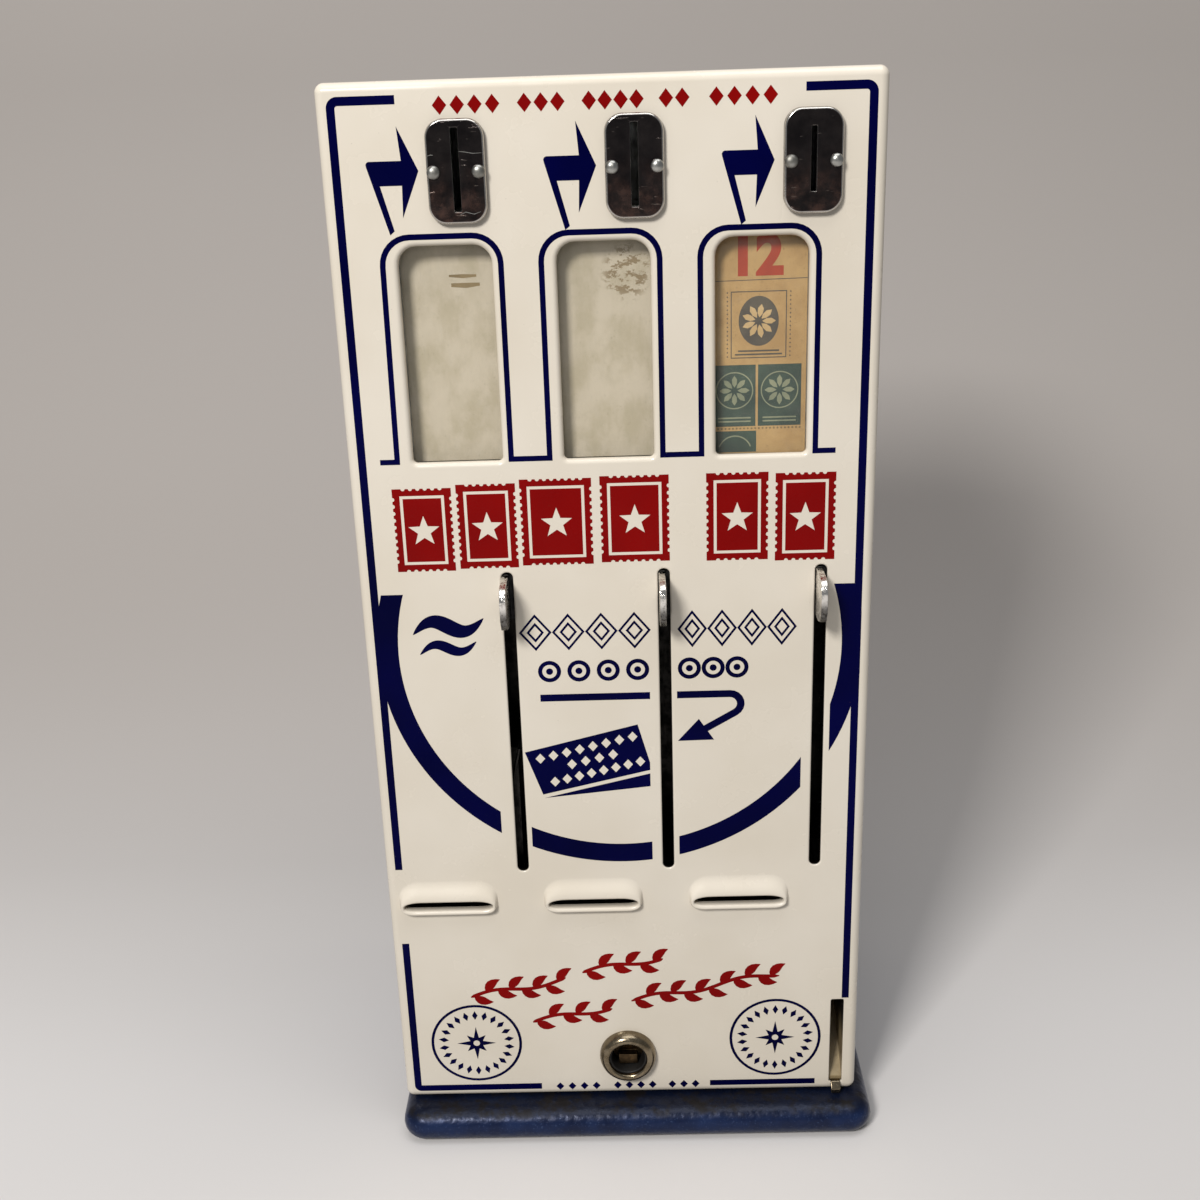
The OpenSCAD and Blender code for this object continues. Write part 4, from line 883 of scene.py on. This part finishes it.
tiles = bmesh.new()
for x0, x1, z0, z1 in ((-74.9, -54.8, 221.4, 251.0), (-53.2, -33.0, 222.0, 252.0), (-31.6, -7.2, 222.6, 253.2),
                       (-4.4, 19.0, 223.0, 253.6), (31.6, 52.6, 222.6, 253.6), (55.0, 75.4, 222.0, 253.0)):
    patch(tiles, perforated(x0, z0, x1, z1), [box(x0, z0, x1, z1, 2.5)])
    patch(tiles, box(x0, z0, x1, z1, 3.5), [star((x0 + x1) / 2, (z0 + z1) / 2 - 0.4, (5.6, 2.3))])
print_piece("red_tiles_print", tiles, red)
print("six blank stamps")

# %% Small red lozenges along the top
marks = bmesh.new()
for x0, x1, count in ((-52.9, -31.0, 4), (-26.4, -11.0, 3), (-6.3, 13.3, 4), (17.4, 27.5, 2), (32.7, 55.0, 4)):
    for k in range(count):
        patch(marks, lozenge(x0 + (x1 - x0) * (k + 0.5) / count, 373.4, 2.25, 2.85))
print_piece("top_marks_print", marks, red)
print("seventeen lozenges in five groups")

# %% Outlined lozenges, rings with a dot and foot marks
rows = bmesh.new()
for x0, x1 in ((-34.4, 12.0), (21.2, 63.0)):
    step = (x1 - x0) / 4
    for k in range(4):
        x = x0 + step * (k + 0.5)
        ribbon(rows, lozenge(x, 197.6, step * 0.45, 6.3), 0.8, closed=True)
        ribbon(rows, lozenge(x, 197.6, step * 0.22, 3.1), 0.8, closed=True)
for x in (-24.2, -13.8, -3.4, 7.0, 25.3, 33.7, 42.1):
    ribbon(rows, arc(x, 182.7, 3.35, 0, 345, 23), 1.5, closed=True)
    patch(rows, arc(x, 182.7, 1.25, 0, 337.5, 15))
for x in (-27.6, -22.8, -18.0, -13.2, -4.8, -0.2, 4.4, 9.0, 16.8, 21.4, 26.0):
    patch(rows, lozenge(x, 4.3, 1.55, 1.75))
print_piece("navy_rows_print", rows, navy)
print("rows of lozenges and rings")

# %% Cream lozenges on the tilted panel
panel = bmesh.new()
SLANT = 0.236
for z, x0, x1, count in ((152.6, -29.0, 4.6, 8), (147.4, -17.6, -2.6, 4), (142.0, -24.0, 7.2, 8)):
    for k in range(count):
        x = x0 + (x1 - x0) * k / (count - 1)
        patch(panel, lozenge(x, z + SLANT * (x + 12), 1.75, 2.0), y=INK - 0.05)
print_piece("panel_lozenges_print", panel, cream)
print("three rows on the panel")

# %% Brush strokes
def brush(bm, x0, z0, length, slope, swing, thick, steps=28):
    """One lying wave, thin at both ends and thick in the middle."""
    points, widths = [], []
    for k in range(steps + 1):
        share = k / steps
        points.append((x0 + length * share, z0 + slope * length * share + swing * sin(2 * pi * share)))
        widths.append(0.25 + thick * sin(pi * share) ** 0.8)
    ribbon(bm, points, widths)


flourish = bmesh.new()
brush(flourish, -71.5, 198.0, 25.0, 0.22, 3.2, 5.4)
brush(flourish, -69.5, 190.4, 20.0, 0.22, 2.4, 3.6)
print_piece("navy_stroke_print", flourish, navy)
print("two strokes")

# %% Leafy twigs
def twig(bm, x0, z0, length, slope, leaf=7.6, spacing=4.5):
    """A swaying stem with leaves above and below it in turn."""
    def stem(along):
        return Vector((x0 + along, z0 + slope * along + 1.3 * sin(2 * pi * along / 34)))
    ribbon(bm, [stem(length * k / 30) for k in range(31)], [0.5] + [1.5] * 29 + [0.4])
    count = int(length / spacing)
    for k in range(count):
        side = 1 if k % 2 else -1
        root = stem(length * (k + 0.35) / count)
        points = []
        for step in range(7):
            share = step / 6
            lean = atan2(slope, 1) + side * (1.15 - 0.55 * share)
            points.append(root + leaf * share * Vector((cos(lean), sin(lean))))
        ribbon(bm, points, [0.9, 2.5, 3.5, 3.7, 3.0, 1.7, 0.2], y=INK - 0.015)


twigs = bmesh.new()
for x0, z0, length in ((-60.5, 46.8, 37.0), (-17.0, 57.0, 31.0), (-37.0, 34.8, 31.0), (1.5, 43.6, 57.0)):
    twig(twigs, x0, z0, length, 0.2)
print_piece("red_twigs_print", twigs, red)
print("four twigs")

# %% Two roundels
roundels = bmesh.new()
for x in (-59.58, 57.17):
    ribbon(roundels, arc(x, 25.5, 17.25, 0, 352.5, 47), 1.1, closed=True)
    for k in range(22):
        a = 2 * pi * (k + 0.5) / 22
        petal = [(10.9, a), (12.9, a + 0.085), (14.9, a), (12.9, a - 0.085)]
        patch(roundels, [(x + r * cos(b), 25.5 + r * sin(b)) for r, b in petal])
    patch(roundels, star(x, 25.5, (7.6, 2.7, 5.2, 2.7), 8), [arc(x, 25.5, 1.3, 0, 330, 11)])
print_piece("roundel_print", roundels, navy)
print("two roundels")

# %% [markdown]
# ## Coin plates and their rivets
# Each coin plate is a thick plated slab with a narrow bevel and a slot for one size
# of coin. Its front is one face between two outlines, and both outlines are grown
# backwards over an eased edge. The rivets are turned: a small domed profile is spun
# about its own middle.

# %% Coin plates
def coin_plate(i):
    name = f"coin_plate_{i + 2}"
    bm = bmesh.new()
    wide, tall, up = (2.2, 19.6, 0.6) if i == 1 else (2.7, 25.4, 0.5)
    rim = outline(bm, *around(coin_x(i), PLATE_Z, 16.8, 30.0), 4.7, -2.6, 8)
    slot = outline(bm, *around(coin_x(i), PLATE_Z + up, wide, tall + 0.5), 0.5, -2.6, 3)
    fill(bm, rim + slot)
    back = grow(bm, rim, [(0.35, -2.5), (0.65, -2.25), (0.85, -1.85), (0.9, -1.5), (0.9, 0.0)])
    inside = grow(bm, slot, [(-0.15, -2.52), (-0.25, -2.3), (-0.25, 0.0)])
    fill(bm, back + inside)
    finish_piece("shaped_" + name, bm, dark_plating, "cover", [name], weight=True, sharp=60)


for i in COLUMNS:
    coin_plate(i)
scratches = bmesh.new()
x, z = coin_x(-1), PLATE_Z
for line in ([(1.3, 6.1), (3.0, 5.9), (5.6, 5.4), (8.4, 5.5)], [(-8.6, 5.0), (-7.6, 5.3), (-6.9, 5.2)],
             [(0.6, -13.0), (2.4, -12.2), (5.0, -12.9), (7.2, -12.2)]):
    ribbon(scratches, [(x + dx, z + dz) for dx, dz in line], [0.12, 0.24, 0.2, 0.1][:len(line)], y=-2.61)
print_piece("plate_scratches", scratches, zinc, thick=0.01)
print("three coin plates and the scratches on the first")

# %% Turned pieces
def turned(bm, profile, x, z, steps=40):
    """Spins a profile of (radius, y) about a line straight into the face at x, z."""
    verts = [bm.verts.new((x + r, y, z)) for r, y in profile]
    edges = [bm.edges.new(pair) for pair in zip(verts, verts[1:])]
    bmesh.ops.spin(bm, geom=verts + edges, cent=(x, 0, z), axis=(0, 1, 0), dvec=(0, 0, 0), angle=2 * pi,
                   steps=steps, use_merge=True, use_duplicate=False)


rivets = bmesh.new()
for i in COLUMNS:
    for side in (-1, 1):
        dome = [(2.15 * cos(a), -2.75 - 1.4 * sin(a)) for a in quarter(7, 0)]
        turned(rivets, [(0, 1.9), (1.7, 1.9), (1.7, 1.2), (1.1, 1.2), (1.1, -2.6), (2.0, -2.6)] + dome,
               coin_x(i) + side * 7.05, PLATE_Z, 28)
finish_piece("domed_rivets", rivets, zinc, "cover", ["plate_rivets"])
print("six rivets")

# %% [markdown]
# ## The lock
# The lock is a domed bezel round a deep keyway. Only its rings and the tongue at the
# bottom of the keyway are seen. The keyway is dark because it is deep, and its barrel is painted near black as
# painted shade.

# %% Bezel and barrel
bezel = bmesh.new()
dome = [(11.0 - 2.7 * (1 - cos(a)), -0.5 - 3.9 * sin(a)) for a in quarter(12, 0)]
lip = [(8.3 - 1.15 * sin(a), -3.3 - 1.1 * cos(a)) for a in quarter(6)]
turned(bezel, [(8.1, 0), (11.0, 0)] + dome + lip + [(7.15, -2.9), (8.1, -2.9), (8.1, 0)], LOCK_X, LOCK_Z, 64)
finish_piece("domed_bezel", bezel, nickel, "cover", ["lock_bezel"], sharp=80)
barrel = bmesh.new()
turned(barrel, [(8.0, 17.0), (8.0, -2.4), (7.85, -2.55), (6.8, -2.55), (6.55, -2.3), (6.55, 17.0), (8.0, 17.0)],
       LOCK_X, LOCK_Z, 48)
finish_piece("eased_barrel", barrel, keyway_shade, "cover", ["lock_barrel"], sharp=50)
print("bezel and barrel")

# %% [markdown]
# ## Pieces that keep their CAD shape
# A pressed or cut piece needs no new shape, but a real edge is never knife-sharp: it
# catches a thin line of light. So a copy of the CAD mesh has its flat faces joined,
# and a small bevel breaks every edge. The copy stands for the node and leaves it
# untouched. Two copies also change a little: the lever blades and the lock's tongue.

# %% A copy of a CAD node with broken edges
def dress(node, finish, bevel=0.15, change=None):
    bm = bmesh.new()
    bm.from_mesh(frame["nodes"][node].data)
    bmesh.ops.remove_doubles(bm, verts=bm.verts[:], dist=1e-6)
    bmesh.ops.dissolve_limit(bm, angle_limit=radians(0.5), verts=bm.verts[:], edges=bm.edges[:],
                             delimit={"NORMAL"})
    bmesh.ops.translate(bm, verts=bm.verts[:], vec=-spot(0, 0, 0))
    bmesh.ops.scale(bm, verts=bm.verts[:], vec=(1000, 1000, 1000))
    if change:
        change(bm)
    finish_piece("dressed_" + node, bm, finish, frame["nodes"][node]["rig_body"], [node], tidy=False,
                 bevel=bevel, sharp=40, weight=True)


BLADE = 2.2


def thin_blade(x):
    """The 3 mm blade in the middle of the slot at x gets BLADE thick and stands to the left."""
    def change(bm):
        for v in bm.verts:
            if abs(v.co.x - x) < 1.6:
                v.co.x = x - 0.7 + (v.co.x - x) * BLADE / 3
    return change


def fuller_tongue(bm):
    """The tongue in the keyway gets a little wider and higher."""
    for v in bm.verts:
        across, up = v.co.x - LOCK_X, v.co.z - LOCK_Z
        if v.co.y < 4.9 and abs(across) < 3.5 and -4.9 < up < -1.7:
            v.co.x, v.co.z = LOCK_X + 1.09 * across, LOCK_Z - 5.2 + (up + 4.8) * 4.2 / 3


print("one helper dresses any of the", len(frame["nodes"]), "nodes")

# %% Base, cabinet and the pieces seen from outside
dress("base_casting", hammered_blue, bevel=0.0)
dress("case_shell", cabinet_blue, bevel=0.3)
for node in ("case_screws", "pivot_rivets", "chassis_screws", "pane_clips", "lock_nut", "lock_cam", "cam_nut"):
    dress(node, zinc)
dress("return_lip", nickel, bevel=0.35)
for k in (1, 2, 3):
    dress(f"lever_{k}", lever_plating, bevel=0.5, change=thin_blade(lever_x(k - 2)))
    dress(f"pusher_{k}", zinc, bevel=0.12)
    dress(f"follower_{k}", worn_cream)
    dress(f"coin_latch_{k}", brass)
dress("lock_plug", old_brass, bevel=0.3, change=fuller_tongue)
dress("coin_return_chute", return_cream)
print("base, cabinet, levers and lock parts")

# %% Inner works
# The chassis plate takes blackened steel so that what shows through the lever slots stays dark: painted shade.
for node in ("chassis_plate", "guide_brackets", "latch_brackets", "coin_tray", "strike_plate"):
    dress(node, black_steel if node == "chassis_plate" else zinc, bevel=0.2)
for k in (1, 2, 3):
    for node in (f"magazine_{k}", f"coin_chute_{k}"):
        dress(node, zinc)
    dress(f"delivery_chute_{k}", black_steel)
    dress(f"guide_rod_{k}", bright, bevel=0.2)
dress("cash_box", grey_paint, bevel=0.3)
dress("folder_stack", tan_card, bevel=0.08)
for k in (1, 2, 3):
    pane = frame["nodes"][f"window_pane_{k}"].data
    pane.materials.clear()
    pane.materials.append(clear.material)
print("inner works")

# %% [markdown]
# ## Springs
# Each spring is one round wire: a small circle is spun about the spring's axis while
# it moves along it. The wire rides on the cabinet.

# %% Coil springs
def coil(name, centre, radius, wire, length, turns, lengthwise, anchor, keep):
    bm = bmesh.new()
    made = bmesh.ops.create_circle(bm, cap_ends=True, radius=wire, segments=8)["verts"]
    turn(bm, made, 1, "X")
    bmesh.ops.translate(bm, verts=made, vec=(radius, 0, wire))
    steps = 20 * turns
    bmesh.ops.spin(bm, geom=bm.faces[:] + bm.edges[:] + bm.verts[:], cent=(0, 0, 0), axis=(0, 0, 1),
                   dvec=(0, 0, (length - 2 * wire) / steps), angle=2 * pi * turns, steps=steps, use_merge=False,
                   use_duplicate=False)
    if lengthwise:
        turn(bm, bm.verts[:], -1, "X")
    bmesh.ops.translate(bm, verts=bm.verts[:], vec=centre)
    piece = finish_piece("wound_" + name, bm, spring_steel, "cabinet", [name], sharp=60)
    spot(*anchor)
    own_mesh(piece)


for k in (1, 2, 3):
    i = k - 2
    rod = (lever_x(i) + 6.3, 14.0, 93.7)
    coil(f"lever_spring_{k}", rod, 3.5, 0.4, 108.3, 10, False, rod, 9.5 / 108.3)
    start, travel = (48.3, 34.0) if i == 1 else (9.9, 70.0)
    length = 119.2 - start
    coil(f"follower_spring_{k}", (window_x(i), start, 294.4), 7.0, 0.55, length, 11, True,
         (window_x(i), 119.2, 294.4), (length - travel) / length)
print("six springs")

# %% [markdown]
# ## The folder in the third window
# The folder is a soft card with a large plain number and a few stamps on it. The
# stamps are generic: a frame, a rosette and a ruled foot, in grey and green inks.

# %% Folder card
FOLDER_X, FOLDER_FRONT = window_x(1), 6.8
card_piece = bmesh.new()
face_edges = outline(card_piece, *around(FOLDER_X, 294.8, 31.6, 72.6), 0.8, FOLDER_FRONT, 4)
fill(card_piece, face_edges)
back_edges = grow(card_piece, face_edges, [(0.15, FOLDER_FRONT + 0.1), (0.2, FOLDER_FRONT + 0.3), (0.2, 7.85)])
fill(card_piece, back_edges)
finish_piece("folder_card", card_piece, tan_card, "folder", ["front_folder"], weight=True)
print("a card 32 by 73 mm")

# %% The number on the folder
PAPER = FOLDER_FRONT - 0.03


def folder_print(name, bm, ink, thick=0.02):
    print_piece(name, bm, ink, "folder", thick)


figure = bpy.data.curves.new("figure", "FONT")
figure.body, figure.size, figure.align_x = "12", 17.5, "CENTER"
figure.resolution_u, figure.offset = 6, 0.75
holder = bpy.data.objects.new("figure", figure)
link(holder)
bpy.context.view_layer.update()
drawn = bpy.data.meshes.new_from_object(holder)
bpy.data.objects.remove(holder)
number = bmesh.new()
number.from_mesh(drawn)
turn(number, number.verts[:], 1, "X")
bmesh.ops.translate(number, verts=number.verts[:], vec=(FOLDER_X - 1.4, PAPER, 318.4))
folder_print("folder_number", number, orange_ink)
print("a plain number")

# %% Grey stamp with a rosette in an oval
grey_stamp = bmesh.new()
MID_X, MID_Z = 49.6, 303.0
patch(grey_stamp, box(40.4, 290.8, 58.8, 312.8), [box(40.4, 290.8, 58.8, 312.8, 0.32)], PAPER)
oval = [(MID_X + 6.6 * cos(2 * pi * k / 40), MID_Z + 8.2 * sin(2 * pi * k / 40)) for k in range(40)]
patch(grey_stamp, oval, y=PAPER)
for k in range(16):
    for x in (39.3, 60.0):
        patch(grey_stamp, lozenge(x, 291.4 + 1.4 * k, 0.28, 0.34), y=PAPER)
for k, width in enumerate((13.6, 15.6)):
    z = 293.2 - 1.15 * k
    ribbon(grey_stamp, [(MID_X - width / 2, z), (MID_X + width / 2, z)], 0.55, y=PAPER)
ribbon(grey_stamp, [(34.6, 316.2), (65.8, 316.6)], 0.25, y=PAPER)
folder_print("grey_stamp", grey_stamp, grey_ink)
print("a grey stamp")

# %% Green stamps
FIELDS = ((34.6, 267.8, 48.7, 288.6), (49.5, 267.8, 63.9, 288.6), (34.6, 258.9, 49.0, 266.2))
green_stamps = bmesh.new()
for x0, z0, x1, z1 in FIELDS:
    patch(green_stamps, box(x0, z0, x1, z1), y=PAPER)
folder_print("green_stamps", green_stamps, green_ink)
print("two green stamps and the head of a third")

# %% Lighter ornaments on the stamps
def rosette(bm, x, z, r, petals, y):
    for k in range(petals):
        a = 2 * pi * k / petals
        ribbon(bm, [(x + share * r * cos(a), z + share * r * sin(a)) for share in (0.22, 0.45, 0.75, 1.0)],
               [0.1, r * 0.3, r * 0.34, 0.1], y=y)


OVER = PAPER - 0.03
light_print = bmesh.new()
rosette(light_print, MID_X, MID_Z, 5.6, 9, OVER)
folder_print("tan_rosette", light_print, soft_tan, 0.01)
ornaments = bmesh.new()
for x0, z0, x1, z1 in FIELDS[:2]:
    x, z = (x0 + x1) / 2, z0 + 12.2
    rosette(ornaments, x, z, 5.0, 8, OVER)
    ribbon(ornaments, arc(x, z, 6.1, 0, 350, 35), 0.4, y=OVER, closed=True)
    for k in range(2):
        ribbon(ornaments, [(x0 + 1.6, z0 + 1.7 + 1.2 * k), (x1 - 1.6, z0 + 1.7 + 1.2 * k)], 0.5, y=OVER)
ribbon(ornaments, arc(41.8, 258.9, 5.6, 20, 160, 14), 0.45, y=OVER)
folder_print("green_stamp_ornaments", ornaments, pale_ink, 0.01)
holes = bmesh.new()
for k in range(24):
    patch(holes, arc(34.9 + 1.25 * k, 267.05, 0.36, 0, 315, 7), y=OVER)
folder_print("stamp_holes", holes, scuff_brown, 0.01)
print("rosettes and a row of holes")

# %% Two worn dashes on the first plate
dashes = bmesh.new()
ribbon(dashes, [(-51.6, 320.4), (-47.0, 320.2), (-42.6, 320.3)], [0.7, 1.3, 0.8], y=8.27)
ribbon(dashes, [(-51.0, 317.4), (-46.0, 317.2), (-41.6, 317.5)], [1.2, 1.7, 1.0], y=8.27)
print_piece("plate_dashes", dashes, scuff_brown, "feeder_1", 0.01)
print("two dashes")

# %% [markdown]
# ## Measuring
# The visual model is meant to keep the size of the CAD model, so its box is printed.

# %% Print the visual model's box
low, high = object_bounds()
print("the visual model reaches from", tuple(low), "to", tuple(high))
